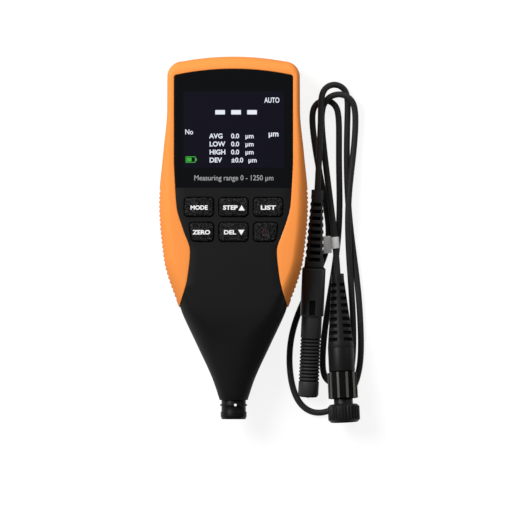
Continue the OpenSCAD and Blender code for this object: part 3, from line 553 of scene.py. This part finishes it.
bpy.ops.mesh.primitive_grid_add(x_subdivisions=8, y_subdivisions=8, size=3.0)
floor = bpy.context.object
floor.name = "floor"
floor_white = bpy.data.materials.new("floor_white")
floor_white.use_nodes = True
tree = floor_white.node_tree
tree.nodes.clear()
floor_out = tree.nodes.new("ShaderNodeOutputMaterial")
floor_matte = tree.nodes.new("ShaderNodeBsdfDiffuse")
floor_matte.inputs["Color"].default_value = (0.2, 0.2, 0.2, 1)
floor_glow = tree.nodes.new("ShaderNodeEmission")
floor_sum = tree.nodes.new("ShaderNodeAddShader")
rays = tree.nodes.new("ShaderNodeLightPath")
seen = rays.outputs["Is Camera Ray"]
for ray in ("Is Glossy Ray", "Is Transmission Ray"):
    either = tree.nodes.new("ShaderNodeMath")
    either.operation = "MAXIMUM"
    tree.links.new(seen, either.inputs[0])
    tree.links.new(rays.outputs[ray], either.inputs[1])
    seen = either.outputs[0]
lift = tree.nodes.new("ShaderNodeMath")
lift.operation = "MULTIPLY"
lift.inputs[1].default_value = 0.86
tree.links.new(seen, lift.inputs[0])
tree.links.new(lift.outputs[0], floor_glow.inputs["Strength"])
tree.links.new(floor_matte.outputs[0], floor_sum.inputs[0])
tree.links.new(floor_glow.outputs[0], floor_sum.inputs[1])
tree.links.new(floor_sum.outputs[0], floor_out.inputs["Surface"])
floor.data.materials.append(floor_white)

world = bpy.data.worlds.new("studio")
bpy.context.scene.world = world
world.use_nodes = True
world.node_tree.nodes["Background"].inputs["Color"].default_value = (1, 1, 1, 1)
world.node_tree.nodes["Background"].inputs["Strength"].default_value = 0.12


def soft_box(name, place, power, width, height):
    """An area lamp that faces the middle of the gauge."""
    data = bpy.data.lights.new(name, "AREA")
    data.shape = "RECTANGLE"
    data.size = width
    data.size_y = height
    data.energy = power
    lamp = bpy.data.objects.new(name, data)
    lamp.location = place
    lamp.rotation_euler = (-Vector(place)).to_track_quat("-Z", "Y").to_euler()
    bpy.context.collection.objects.link(lamp)


soft_box("light_key", (-0.62, 0.4, 0.75), 12.5, 0.5, 0.5)
soft_box("light_top", (0.05, 0.85, 0.6), 2.4, 0.6, 0.4)
soft_box("light_side", (0.8, 0.5, 0.5), 1.8, 0.35, 0.35)


# Cord of the lead

def away(at, pitch, yaw, distance):
    """A point straight out of the strain relief that the cord comes from."""
    pitch, yaw = math.radians(pitch), math.radians(yaw)
    step = Vector((-math.sin(yaw) * math.cos(pitch), math.cos(yaw) * math.cos(pitch), math.sin(pitch)))
    return Vector(at) + distance * step


route = [away(*PROBE_END, d) for d in (CORD_START, CORD_STRAIGHT)]
route += [Vector(point) for point in CORD_ROUTE]
route += [away(*PLUG_END, d) for d in (CORD_STRAIGHT, CORD_START)]
line = bpy.data.curves.new("lead_line", "CURVE")
line.dimensions = "3D"
line.bevel_depth = CORD_D / 2 * MM
line.bevel_resolution = 5
line.resolution_u = 8
line.use_fill_caps = True
spline = line.splines.new("NURBS")
spline.points.add(len(route) - 1)
for knot, point in zip(spline.points, route):
    knot.co = (*(point * MM), 1)
spline.order_u = 4
spline.use_endpoint_u = True
cord = bpy.data.objects.new("lead_line", line)
bpy.context.collection.objects.link(cord)
line.materials.append(cord_black)
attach(cord, "gauge")
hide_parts("lead_cord")


# Pieces of the lead

def second_finish(piece, end, chosen, finish):
    """Gives a second finish, a painted shade or a painted highlight, to faces of a lead piece, chosen by
    their way along its axis and off it.
    """
    start = Vector(end[0])
    axis = start - away(*end, 1.0)
    piece.data.materials.append(finish)
    for face in piece.data.polygons:
        offset = face.center / MM - start
        way = offset.dot(axis)
        if chosen(way, (offset - way * axis).length):
            face.material_index = 1


def under_taper(thin, thick, length):
    """Chooses what lies under the skin of a strain relief, which gets painted shade."""
    growth = (thick - thin) / (length - RELIEF_COLLAR)
    return lambda way, radius: radius < thin + growth * max(0.0, way - RELIEF_COLLAR) - RELIEF_SKIN


# Faces deep in slots, grooves and between fins get painted shade
probe_relief = dressed("lead_probe_relief", "gauge", pen_grip_black_painted_light, 0.15)
second_finish(probe_relief, PROBE_END, under_taper(*PROBE_RELIEF), painted_recess_shade)
probe_body = dressed("lead_probe_body", "gauge", pen_black_painted_light, 0.3, 3)
second_finish(probe_body, PROBE_END, lambda way, radius: radius < PEN_R - PEN_SLOT_SKIN, painted_recess_shade)
probe_grip = dressed("lead_probe_grip", "gauge", pen_grip_black_painted_light, 0.12)
second_finish(probe_grip, PROBE_END, lambda way, radius: radius < PEN_GRIP_R - GROOVE_SKIN, painted_recess_shade)
plug_relief = dressed("lead_plug_relief", "gauge", relief_black, 0.15)
second_finish(plug_relief, PLUG_END, under_taper(*PLUG_RELIEF), painted_recess_shade)
# The plug's shell is painted shade but for the tops of its fins, which carry a painted highlight
plug_shell = dressed("lead_plug_shell", "gauge", painted_recess_shade, 0.15, 3, angle=25)
second_finish(plug_shell, PLUG_END, lambda way, radius: radius > PLUG_SHELL_R - GROOVE_SKIN, fin_painted_highlight)
lead_pieces = [
    probe_relief, probe_body, probe_grip, plug_relief, plug_shell,
    dressed("lead_probe_tip", "gauge", probe_steel, 0.1),
    dressed("lead_plug_body", "gauge", lead_black, 0.3, 3),
    dressed("lead_plug_ring", "plug_ring", ring_black, 0.12),
    dressed("lead_plug_core", "gauge", lead_black, 0.1),
    dressed("lead_tag", "gauge", tag_white, 0.06),
]


# Housing

FLAT_STEPS = 5
CORNER_STEPS = 12
WALL_STEPS = 4
SHELL_ROWS = 56
FACE_CORNER_ANGLES = (20, 40, 58, 75, 90)
LEAST_CORNER = 0.4
SHELL_EDGE_R = 0.2
NOSE_BORE_Y = -66.0
NOSE_BORE_LENGTH = 24.0
ROOM_LOW_Y = -58.0
ROOM_HIGH_Y = 73.0
ROOM_SEAM = 0.1
ROOM_PAST_SEAM = 1.0
KEY_HOLE_LOW_Z = 25.0
KEY_HOLE_HIGH_Z = 32.0


def skin(y, inset):
    """Half width, fall, and the corners of the housing at a station, moved inwards by inset."""
    end = TOP_Y - inset
    half = along(HOUSING, y, 1) - inset - end_fall(y, CORNER_R - inset, end)
    fall = along(HOUSING, y, 2) + inset + end_fall(y, TOP_ROUND - inset, end)
    corner = [max(LEAST_CORNER, along(HOUSING, y, k) - inset) for k in (3, 4, 6)]
    return half, fall, corner[0], corner[1], along(HOUSING, y, 5), corner[2]


def shell_half(y, front, inset, rim):
    """Half of a shell's section, as (distance from the middle, height over the seam), down to the seam."""
    half, fall, wide, deep, power, back = skin(y, inset)
    if not front:
        wide, deep, power = back, back, 2.0
    edge = min(half, face_half(y) - rim)
    top = SEAM_Z - fall
    flat = min(edge, half - wide)
    reach = min(1.0, max(0.0, (edge - half + wide) / wide))
    limit = math.asin(reach ** (power / 2))
    points = [(flat * i / FLAT_STEPS, top) for i in range(FLAT_STEPS)]
    for i in range(CORNER_STEPS + 1):
        turn = limit * i / CORNER_STEPS
        x = half - wide + wide * math.sin(turn) ** (2 / power)
        points.append((min(edge, x), top - deep + deep * max(0.0, math.cos(turn)) ** (2 / power)))
    low = points[-1][1]
    points += [(edge, low + (SEAM_GAP - low) * (i + 1) / WALL_STEPS) for i in range(WALL_STEPS)]
    return points


def stations(low, high, count):
    return [low + (high - low) * i / count for i in range(count + 1)]


def face_corner_rows(end):
    """Stations round the face's corner, up to its end."""
    return [end - FACE_CORNER_R + FACE_CORNER_R * math.sin(math.radians(a)) for a in FACE_CORNER_ANGLES]


def shell_block(name, front, inset, rim, low, high):
    """A solid half of the housing, between two stations, from the seam outwards."""
    rows = stations(low, high - FACE_CORNER_R, SHELL_ROWS) + face_corner_rows(high)
    halves = [shell_half(y, front, inset, rim) for y in rows]
    count = len(halves[0])
    sign = 1 if front else -1

    def place(i, j):
        row = min(max(j - 1, 0), len(rows) - 1)
        k = abs(i - count + 1)
        x, z = halves[row][k]
        x = x if i >= count else -x
        if j in (0, len(rows) + 1):
            z = SEAM_GAP
        y = rows[row] - head_bow(rows[row]) * x * x / (2 * ARCH_R)
        return (x, y, SEAM_Z + sign * z)

    block = shaped_grid(name, 2 * count - 2, len(rows) + 1, place)
    close_up(block)
    return block


def nose_cutter():
    bpy.ops.object.select_all(action="DESELECT")
    bpy.ops.mesh.primitive_cylinder_add(vertices=64, radius=NOSE_BORE_R * MM, depth=NOSE_BORE_LENGTH * MM,
                                        location=(0, NOSE_BORE_Y * MM, SEAM_Z * MM),
                                        rotation=(math.pi / 2, 0, 0))
    cutter = bpy.context.object
    bpy.ops.object.transform_apply(location=True, rotation=True, scale=True)
    return cutter


def key_corners(column, row, grow=0.0):
    """The four corners of a key's plan; the outer keys of the lower row lean in."""
    corners = {}
    for side in (-1, 1):
        for end in (-1, 1):
            trim = KEY_TRIM[end] if row == 1 and column == side else 0.0
            x = column * KEY_PITCH_X + side * (KEY_W / 2 - trim + grow)
            corners[(side, end)] = (x, KEY_ROWS_Y[row] + end * (KEY_H / 2 + grow))
    return corners


def cavity(front):
    """A cutter for the room in a shell, which reaches past the seam."""
    room = shell_block("room", front, FACE_DROP + WALL, JOINT_GAP + WALL, ROOM_LOW_Y, ROOM_HIGH_Y)
    sign = 1 if front else -1
    for corner in room.data.vertices:
        over = (corner.co.z / MM - SEAM_Z) * sign
        if over < ROOM_SEAM:
            corner.co.z = (SEAM_Z - sign * ROOM_PAST_SEAM) * MM
    return room


front_shell = shell_block("front_shell", True, FACE_DROP, JOINT_GAP, NOSE_Y, FACE_TOP_Y)
round_edges(front_shell, SHELL_EDGE_R, 2, 60)
window_seat = box_cutter((-PAST_X, WINDOW_LOW_Y - JOINT_GAP, WINDOW_FLOOR_Z), (PAST_X, PAST_Y, PAST_FRONT_Z))
cut(front_shell, cavity(True), nose_cutter(), window_seat)
for row in (0, 1):
    for column in (-1, 0, 1):
        hole = plan_block("hole", key_corners(column, row, KEY_GAP), KEY_ROUND + KEY_GAP,
                          KEY_HOLE_LOW_Z, KEY_HOLE_HIGH_Z)
        leave_edit()
        face_outwards(hole)
        cut(front_shell, hole)
finished(front_shell, "gauge", case_black, ("front_case",))

rear_shell = shell_block("rear_shell", False, FACE_DROP, JOINT_GAP, NOSE_Y, FACE_TOP_Y)
round_edges(rear_shell, SHELL_EDGE_R, 2, 60)
cut(rear_shell, cavity(False), nose_cutter())
door_low, door_high = [[v / MM for v in corner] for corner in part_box("battery_door")]
door_corners = {}
for side in (-1, 1):
    for end in (-1, 1):
        x = door_high[0] + DOOR_GAP if side > 0 else door_low[0] - DOOR_GAP
        y = door_high[1] + DOOR_GAP if end > 0 else door_low[1] - DOOR_GAP
        door_corners[(side, end)] = (x, y)
door_seat = plan_block("door_seat", door_corners, DOOR_ROUND, PAST_BACK_Z, door_high[2] + JOINT_GAP, 8)
leave_edit()
face_outwards(door_seat)
cut(rear_shell, door_seat)
for x, y in SCREW_PLACES:
    cut(rear_shell, drill(x, y, PAST_BACK_Z, SCREW_HOLE_DEPTH, SCREW_HOLE_R))
finished(rear_shell, "gauge", case_black, ("rear_case",))


# Grip band

BAND_EDGE_R = 0.35
BAND_RIM_DEPTH = 2.4
BAND_T = 1.5
# Shares of a section's width that its edge and its wall may take where the band is narrow
EDGE_SHARE = 0.4
WALL_SHARE = 0.55
FRONT_STEPS = 12
REAR_STEPS = 9
RIM_POINTS = 8
BAND_LOWEST_Y = -36.0
BAND_TIP_W = 0.4
BAND_TIP_STEP = 0.05
RIM_SHIFT_Y = 45.0
HEAD_TURNS = 14
HEAD_SIDE_Y = 71.9
RIB_LOW_Y = -28.0
RIB_HIGH_Y = 22.0
RIB_PITCH = 2.0
RIB_ROWS = 8
RIB_H = 0.4
# How far off its middle a gap reaches, and how wide its flank is, in shares of the pitch
RIB_GAP_REACH = 0.31
RIB_FLANK = 0.12


def rib_gap(y):
    """How deep the gap between two ribs on the band's side is at y."""
    if not RIB_LOW_Y < y < RIB_HIGH_Y:
        return 0.0
    off = abs((RIB_HIGH_Y - y) / RIB_PITCH % 1.0 - 0.5)
    t = min(1.0, max(0.0, (RIB_GAP_REACH - off) / RIB_FLANK))
    return RIB_H * t * t * (3 - 2 * t)


def side_heights(tip):
    """Stations along the band's side, close together where its ribs are."""
    rows = round((RIB_HIGH_Y - RIB_LOW_Y) / RIB_PITCH) * RIB_ROWS
    return (stations(tip, RIB_LOW_Y, 14) + stations(RIB_LOW_Y, RIB_HIGH_Y, rows)[1:]
            + stations(RIB_HIGH_Y, HEAD_SIDE_Y, 30)[1:])


def band_path():
    """Places along the right half of the band, from its pointed end to the middle of the top."""
    tip = BAND_LOWEST_Y
    while skin(tip, 0.0)[0] - face_half(tip) < BAND_TIP_W:
        tip += BAND_TIP_STEP
    places = []
    rim_corner = Vector((FACE[-1][1] - FACE_CORNER_R, 0))
    rim_corner.y = FACE_TOP_Y - FACE_CORNER_R - arch_fall(rim_corner.x)
    for y in side_heights(tip):
        half, fall, wide, deep, power, back = skin(y, 0.0)
        lower = min(1.0, max(0.0, (y - RIM_SHIFT_Y) / (HEAD_SIDE_Y - RIM_SHIFT_Y)))
        rim_y = y + lower * (rim_corner.y - HEAD_SIDE_Y)
        rim = Vector((face_half(rim_y), rim_y))
        places.append((rim, Vector((half, y)), fall, wide, deep, power, back, rib_gap(y)))
    outer_x = places[-1][1].x - CORNER_R
    outer_corner = Vector((outer_x, TOP_Y - CORNER_R - arch_fall(outer_x)))
    wide, deep, power, back = places[-1][3:7]
    for i in range(1, HEAD_TURNS + 1):
        t = i / HEAD_TURNS
        lean = Vector((math.cos(t * math.pi / 2), math.sin(t * math.pi / 2)))
        grown = [a + (TOP_ROUND - a) * t for a in (wide, deep, back)]
        places.append((rim_corner + FACE_CORNER_R * lean, outer_corner + CORNER_R * lean, 0.0,
                       grown[0], grown[1], power, grown[2], 0.0))
    for i in range(1, HEAD_TURNS + 1):
        t = 1 - i / HEAD_TURNS
        rim_x, x = rim_corner.x * t, outer_x * t
        rim = Vector((rim_x, FACE_TOP_Y - arch_fall(rim_x)))
        outer = Vector((x, TOP_Y - arch_fall(x)))
        places.append((rim, outer, 0.0, TOP_ROUND, TOP_ROUND, 2.0, TOP_ROUND, 0.0))
    return places


def corner_line(width, start, wide, deep, power, steps):
    """The rounded corner of a band section from start outwards, as (place, fall)."""
    reach = max(0.0, (start - width + wide) / wide)
    first = math.asin(min(1.0, reach) ** (power / 2))
    points = []
    for i in range(steps + 1):
        turn = first + (math.pi / 2 - first) * i / steps
        points.append((width - wide + wide * math.sin(turn) ** (2 / power),
                       deep - deep * max(0.0, math.cos(turn)) ** (2 / power)))
    return points


def band_section(place):
    """A closed section of the band, as points in space: the outside, then the inside back."""
    rim, outer, fall, wide, deep, power, back, gap = place
    way = outer - rim
    width = way.length
    way = way / width
    edge = min(BAND_EDGE_R, EDGE_SHARE * width)
    thick = min(BAND_T, WALL_SHARE * width)
    front, rear = DEPTH - fall, fall
    front_corner = corner_line(width, edge, wide, deep, power, FRONT_STEPS)
    rear_corner = corner_line(width, edge, back, back, 2.0, REAR_STEPS)
    front_z, rear_z = front - front_corner[0][1], rear + rear_corner[0][1]
    arc = [math.radians(a) for a in (0, 30, 60, 90)]
    outside = [(0.0, front_z - BAND_RIM_DEPTH)]
    outside += [(edge - edge * math.cos(a), front_z - edge + edge * math.sin(a)) for a in arc]
    outside += [(edge + (front_corner[0][0] - edge) * t, front_z) for t in (0.35, 0.7)]
    outside += [(u, front - down) for u, down in front_corner]
    low, high = outside[-1][1], rear + rear_corner[-1][1]
    outside += [(width, low + (high - low) * t) for t in (0.25, 0.5, 0.75)]
    outside += [(u, rear + down) for u, down in reversed(rear_corner)]
    outside += [(edge + (rear_corner[0][0] - edge) * t, rear_z) for t in (0.7, 0.35)]
    outside += [(edge - edge * math.cos(a), rear_z + edge - edge * math.sin(a)) for a in reversed(arc)]
    outside.append((0.0, rear_z + BAND_RIM_DEPTH))
    inside = []
    for k, (u, z) in enumerate(outside):
        before, after = outside[max(k - 1, 0)], outside[min(k + 1, len(outside) - 1)]
        along_u, along_z = after[0] - before[0], after[1] - before[1]
        length = math.hypot(along_u, along_z) or 1.0
        inner_u, inner_z = u + along_z / length * thick, z - along_u / length * thick
        if k < RIM_POINTS or k >= len(outside) - RIM_POINTS:
            inner_u = max(thick, inner_u)
        inside.append((inner_u, min(front_z - thick, max(rear_z + thick, inner_z))))
    ring = [(min(u, width - gap), z) for u, z in outside] + inside[::-1]
    return [(rim.x + way.x * u, rim.y + way.y * u, z) for u, z in ring]


right_half = [band_section(place) for place in band_path()]
band_rows = right_half + [[(-x, y, z) for x, y, z in ring] for ring in right_half[-2::-1]]
ring_size = len(band_rows[0])
grip_band = shaped_grid("grip_band_soft", ring_size, len(band_rows) - 1,
                        lambda i, j: band_rows[j][i % ring_size])
close_up(grip_band)
finished(grip_band, "gauge", grip_orange, ("grip_band",), smooth=40)


# Window and what the display shows

WINDOW_COLUMNS = 24
WINDOW_ROWS = 24
WINDOW_EDGE_R = 0.22
SHOWN_Z = WINDOW_Z + 0.03
PRINT_HALF_T = 0.01
BAR_LOW = 0.01
BAR_HIGH = 0.015
PANEL_ROUND = 0.4
LIST_SIZE = 3.0
BATTERY_WALL = 0.32
BATTERY_GAP = 0.2
BATTERY_CHARGE_SHARE = 0.6
NUB_LENGTH = 0.5
NUB_INSET = 0.8
# Places in pixels of the photo
DASH_LEFT_U = (215.5, 231.4, 247.3)
DASH_WIDTH_U = 9.7
DASH_LOW_V = 115.0
DASH_HIGH_V = 110.6
MODE_WORD_AT = (272, 101)
NUMBER_WORD_AT = (189.4, 132.6)
UNIT_AT = (273.5, 134.4)
LIST_TOP_V = 136.7
LIST_PITCH_V = 8
LIST_LABEL_U = 209.6
LIST_VALUE_U = 235.3
LIST_UNIT_U = 249.6
# How far a sign shifts its row's value and unit
SIGN_VALUE_SHIFT_U = 2.1
SIGN_UNIT_SHIFT_U = 3.0
BATTERY_LOW_AT = (186, 163)
BATTERY_HIGH_AT = (196, 156.8)
RANGE_LINE_AT = (234, 178.4)


def window_row(y):
    return min(face_half(y) - JOINT_GAP, FACE[-1][1] - JOINT_GAP)


window_rows = stations(WINDOW_LOW_Y, FACE_TOP_Y - FACE_CORNER_R, WINDOW_ROWS)
window_rows += [y - JOINT_GAP for y in face_corner_rows(FACE_TOP_Y)]


def window_place(i, j):
    y = window_rows[j]
    x = window_row(y) * (2 * i / WINDOW_COLUMNS - 1)
    return (x, y - head_bow(y) * x * x / (2 * ARCH_R), WINDOW_Z)


window = shaped_grid("window_plate", WINDOW_COLUMNS, len(window_rows) - 1, window_place)
face_outwards(window)
modify(window, "SOLIDIFY", thickness=WINDOW_T * MM, offset=-1)
round_edges(window, WINDOW_EDGE_R, 3, 60)
finished(window, "gauge", window_black, ("display_window",))


def photo_place(u, v):
    """The place in millimetres of a pixel of the photo."""
    return ((u - ORIGIN_PIXEL[0]) * PIXEL, (ORIGIN_PIXEL[1] - v) * PIXEL)


def lettering(words, size, place, z, align="CENTER", weight=0.0, width=None):
    """Words as a thin mesh, their middle line at the place, stretched to a width if one is given."""
    bpy.ops.object.select_all(action="DESELECT")
    bpy.ops.object.text_add()
    text = bpy.context.object
    text.data.body = words
    text.data.size = size * MM
    text.data.align_x = align
    text.data.align_y = "CENTER"
    text.data.extrude = PRINT_HALF_T * MM
    text.data.offset = weight * MM
    text.data.resolution_u = 4
    bpy.ops.object.convert(target="MESH")
    text = bpy.context.object
    if width:
        text.scale.x = width * MM / text.dimensions.x
    text.location = (place[0] * MM, place[1] * MM, z * MM)
    bpy.ops.object.transform_apply(location=True, rotation=True, scale=True)
    return text


def joined(name, pieces):
    only(*pieces)
    bpy.ops.object.join()
    piece = bpy.context.object
    piece.name = name
    return piece


def bar(low, high, z, rounding=0.25):
    """A thin rounded bar that lies on the window."""
    corners = {(-1, -1): low, (1, -1): (high[0], low[1]), (-1, 1): (low[0], high[1]), (1, 1): high}
    piece = plan_block("bar", corners, rounding, z - BAR_LOW, z + BAR_HIGH, 3)
    leave_edit()
    face_outwards(piece)
    return piece


panel_low = (LIT_MIDDLE[0] - LIT_SIZE[0] / 2, LIT_MIDDLE[1] - LIT_SIZE[1] / 2)
panel_high = (LIT_MIDDLE[0] + LIT_SIZE[0] / 2, LIT_MIDDLE[1] + LIT_SIZE[1] / 2)
panel = bar(panel_low, panel_high, WINDOW_Z, PANEL_ROUND)
panel.name = "display_panel"
finished(panel, "gauge", panel_dark)

shown = []
for left in DASH_LEFT_U:
    dash_low, dash_high = photo_place(left, DASH_LOW_V), photo_place(left + DASH_WIDTH_U, DASH_HIGH_V)
    shown.append(bar(dash_low, dash_high, SHOWN_Z, 0.2))
shown.append(lettering("AUTO", 3.3, photo_place(*MODE_WORD_AT), SHOWN_Z, weight=0.06, width=6.8))
shown.append(lettering("No", 3.2, photo_place(*NUMBER_WORD_AT), SHOWN_Z, weight=0.05, width=3.5))
shown.append(lettering("µm", 3.6, photo_place(*UNIT_AT), SHOWN_Z, weight=0.08))
for row, (label, value) in enumerate((("AVG", "0.0"), ("LOW", "0.0"), ("HIGH", "0.0"), ("DEV", "±0.0"))):
    v = LIST_TOP_V + LIST_PITCH_V * row
    signed = value.startswith("±")
    value_u = LIST_VALUE_U + (SIGN_VALUE_SHIFT_U if signed else 0.0)
    unit_u = LIST_UNIT_U + (SIGN_UNIT_SHIFT_U if signed else 0.0)
    shown.append(lettering(label, LIST_SIZE, photo_place(LIST_LABEL_U, v), SHOWN_Z, "LEFT", 0.08))
    shown.append(lettering(value, LIST_SIZE, photo_place(value_u, v), SHOWN_Z, weight=0.06))
    shown.append(lettering("µm", LIST_SIZE, photo_place(unit_u, v), SHOWN_Z, weight=0.06))
reading = joined("display_reading", shown)
finished(reading, "gauge", glow_white, smooth=0)

battery_low, battery_high = photo_place(*BATTERY_LOW_AT), photo_place(*BATTERY_HIGH_AT)
outline = bar(battery_low, battery_high, SHOWN_Z, 0.3)
inside_low = (battery_low[0] + BATTERY_WALL, battery_low[1] + BATTERY_WALL)
inside_high = (battery_high[0] - BATTERY_WALL, battery_high[1] - BATTERY_WALL)
cut(outline, box_cutter((*inside_low, SHOWN_Z - 1), (*inside_high, SHOWN_Z + 1)))
nub_low = (battery_high[0], battery_low[1] + NUB_INSET)
nub_high = (battery_high[0] + NUB_LENGTH, battery_high[1] - NUB_INSET)
charge_low = (inside_low[0] + BATTERY_GAP, inside_low[1] + BATTERY_GAP)
charge_x = inside_low[0] + BATTERY_CHARGE_SHARE * (inside_high[0] - inside_low[0])
charge_high = (charge_x, inside_high[1] - BATTERY_GAP)
bars = [outline, bar(nub_low, nub_high, SHOWN_Z, 0.1), bar(charge_low, charge_high, SHOWN_Z, 0.1)]
battery_mark = joined("display_battery", bars)
finished(battery_mark, "gauge", glow_green, smooth=0)

range_line = lettering("Measuring range 0 - 1250 µm", 3.3, photo_place(*RANGE_LINE_AT), SHOWN_Z, weight=0.03,
                       width=35.5)
range_line.name = "window_range"
finished(range_line, "gauge", print_grey, smooth=0)


# Keys with their marks

LEGEND_Z = KEY_TOP_Z + 0.01
LEGEND_SIZE = 2.6
LEGEND_WEIGHT = 0.09
MARK_T = 0.02
CUT_REACH = 1.0
KEY_EDGE_R = 0.7
KEY_TOP_SINK = 0.06
KEY_TOP_INSET = 0.6
KEY_TOP_RISE = 0.05
ARROW_W = 2.8
ARROW_H = 2.4
POWER_R = 1.5
POWER_LINE = 0.32
POWER_HALF_GAP = 0.5
POWER_HALF_STEM = 0.17
POWER_STEM_LOW = 0.1
POWER_STEM_PAST = 0.2
# Places in pixels of the photo: the rows of keys, the arrows off their row, and across, the words, the arrows
# and the power sign
UPPER_V = 208.0
LOWER_V = 232.6
ARROW_OFF_V = 0.9
LEGEND_U = {"MODE": 199.3, "STEP": 230.5, "LIST": 268.2, "ZERO": 201.8, "DEL": 230}
UPPER_ARROW_U = 241.8
LOWER_ARROW_U = 241.4
POWER_U = 265.5
KEY_NAMES = (("key_upper_left", "key_upper_middle", "key_upper_right"),
             ("key_lower_left", "key_lower_middle", "key_lower_right"))


def key_cap(name, column, row):
    cap = plan_block(name + "_cap", key_corners(column, row), KEY_ROUND, KEY_LOW_Z, KEY_TOP_Z - KEY_TOP_SINK)
    bpy.ops.mesh.bevel(offset=KEY_EDGE_R * MM, segments=4, affect="EDGES")
    leave_edit()
    edit(cap)
    bpy.ops.mesh.select_all(action="DESELECT")
    leave_edit()
    for face in cap.data.polygons:
        face.select = face.normal.z > 0.99
    bpy.ops.object.mode_set(mode="EDIT")
    bpy.ops.mesh.select_mode(type="FACE")
    bpy.ops.mesh.inset(thickness=KEY_TOP_INSET * MM, depth=KEY_TOP_RISE * MM)
    bpy.ops.mesh.select_mode(type="VERT")
    leave_edit()
    face_outwards(cap)
    return finished(cap, name, key_black, (name,), smooth=50)


def arrow_mark(middle, up):
    """A thin triangle that points up or down the face."""
    bpy.ops.object.select_all(action="DESELECT")
    bpy.ops.mesh.primitive_circle_add(vertices=3, radius=1, fill_type="NGON",
                                      location=(middle[0] * MM, middle[1] * MM,
                                                (LEGEND_Z - MARK_T / 2) * MM))
    mark = bpy.context.object
    mark.scale = (ARROW_W / math.sqrt(3) * MM, ARROW_H / 1.5 * MM * (1 if up else -1), MM)
    bpy.ops.object.transform_apply(location=True, rotation=True, scale=True)
    edit(mark)
    bpy.ops.mesh.extrude_region_move(TRANSFORM_OT_translate={"value": (0, 0, MARK_T * MM)})
    leave_edit()
    face_outwards(mark)
    return mark


def power_mark(x, y):
    """An open ring with a bar in its gap."""
    low, high = LEGEND_Z - MARK_T / 2, LEGEND_Z + MARK_T / 2
    ring = drill(x, y, low, high, POWER_R)
    cut(ring, drill(x, y, LEGEND_Z - CUT_REACH, LEGEND_Z + CUT_REACH, POWER_R - POWER_LINE))
    cut(ring, box_cutter((x - POWER_HALF_GAP, y, LEGEND_Z - CUT_REACH),
                         (x + POWER_HALF_GAP, y + 2 * POWER_R, LEGEND_Z + CUT_REACH)))
    stem = box_cutter((x - POWER_HALF_STEM, y + POWER_STEM_LOW, low),
                      (x + POWER_HALF_STEM, y + POWER_R + POWER_STEM_PAST, high))
    return joined("power", [ring, stem])


for row in (0, 1):
    for column in (-1, 0, 1):
        key_cap(KEY_NAMES[row][column + 1], column, row)


def legend(word, v, width):
    place = photo_place(LEGEND_U[word], v)
    return lettering(word, LEGEND_SIZE, place, LEGEND_Z, weight=LEGEND_WEIGHT, width=width)


marks = {
    "key_upper_left": [legend("MODE", UPPER_V, 7.7)],
    "key_upper_middle": [legend("STEP", UPPER_V, 6.6),
                         arrow_mark(photo_place(UPPER_ARROW_U, UPPER_V + ARROW_OFF_V), True)],
    "key_upper_right": [legend("LIST", UPPER_V, 6.8)],
    "key_lower_left": [legend("ZERO", LOWER_V, 7.9)],
    "key_lower_middle": [legend("DEL", LOWER_V, 5.4),
                         arrow_mark(photo_place(LOWER_ARROW_U, LOWER_V - ARROW_OFF_V), False)],
    "key_lower_right": [power_mark(*photo_place(POWER_U, LOWER_V))],
}
for key, pieces in marks.items():
    mark = joined(key + "_mark", pieces)
    finished(mark, key, print_red if key == "key_lower_right" else print_white, smooth=0)


# Nose probe

dressed("probe_sleeve", "nose_probe", sleeve_black, 0.2, 3)
dot = drill(DOT_PLACE[0], DOT_PLACE[1], SEAM_Z + SLEEVE_R - DOT_SINK, SEAM_Z + DOT_TOP_R, DOT_R, 28)
dot.name = "probe_index_dot"
round_edges(dot, 0.08, 2, 60)
finished(dot, "nose_probe", print_white)

# The spring gets a mesh of its own
spring = dressed("probe_spring", "gauge", steel)
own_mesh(spring)


# Back and insides

dressed("battery_door", "gauge", case_black, 0.3, 3)
dressed("battery_door_screw", "gauge", steel, 0.2)
dressed("case_screws", "gauge", steel, 0.2)

INSIDES = {
    "battery_cell_left": cell_wrap, "battery_cell_right": cell_wrap, "battery_contacts": steel,
    "board_screws": steel, "circuit_board": board_green, "display_module": display_dark,
    "keypad_mat": mat_grey, "switch_domes": steel, "nose_bush": bush_brass, "probe_core": probe_steel,
    "probe_ribbon": ribbon_amber,
}
for node, finish in INSIDES.items():
    nodes[node].data.materials.clear()
    nodes[node].data.materials.append(finish)
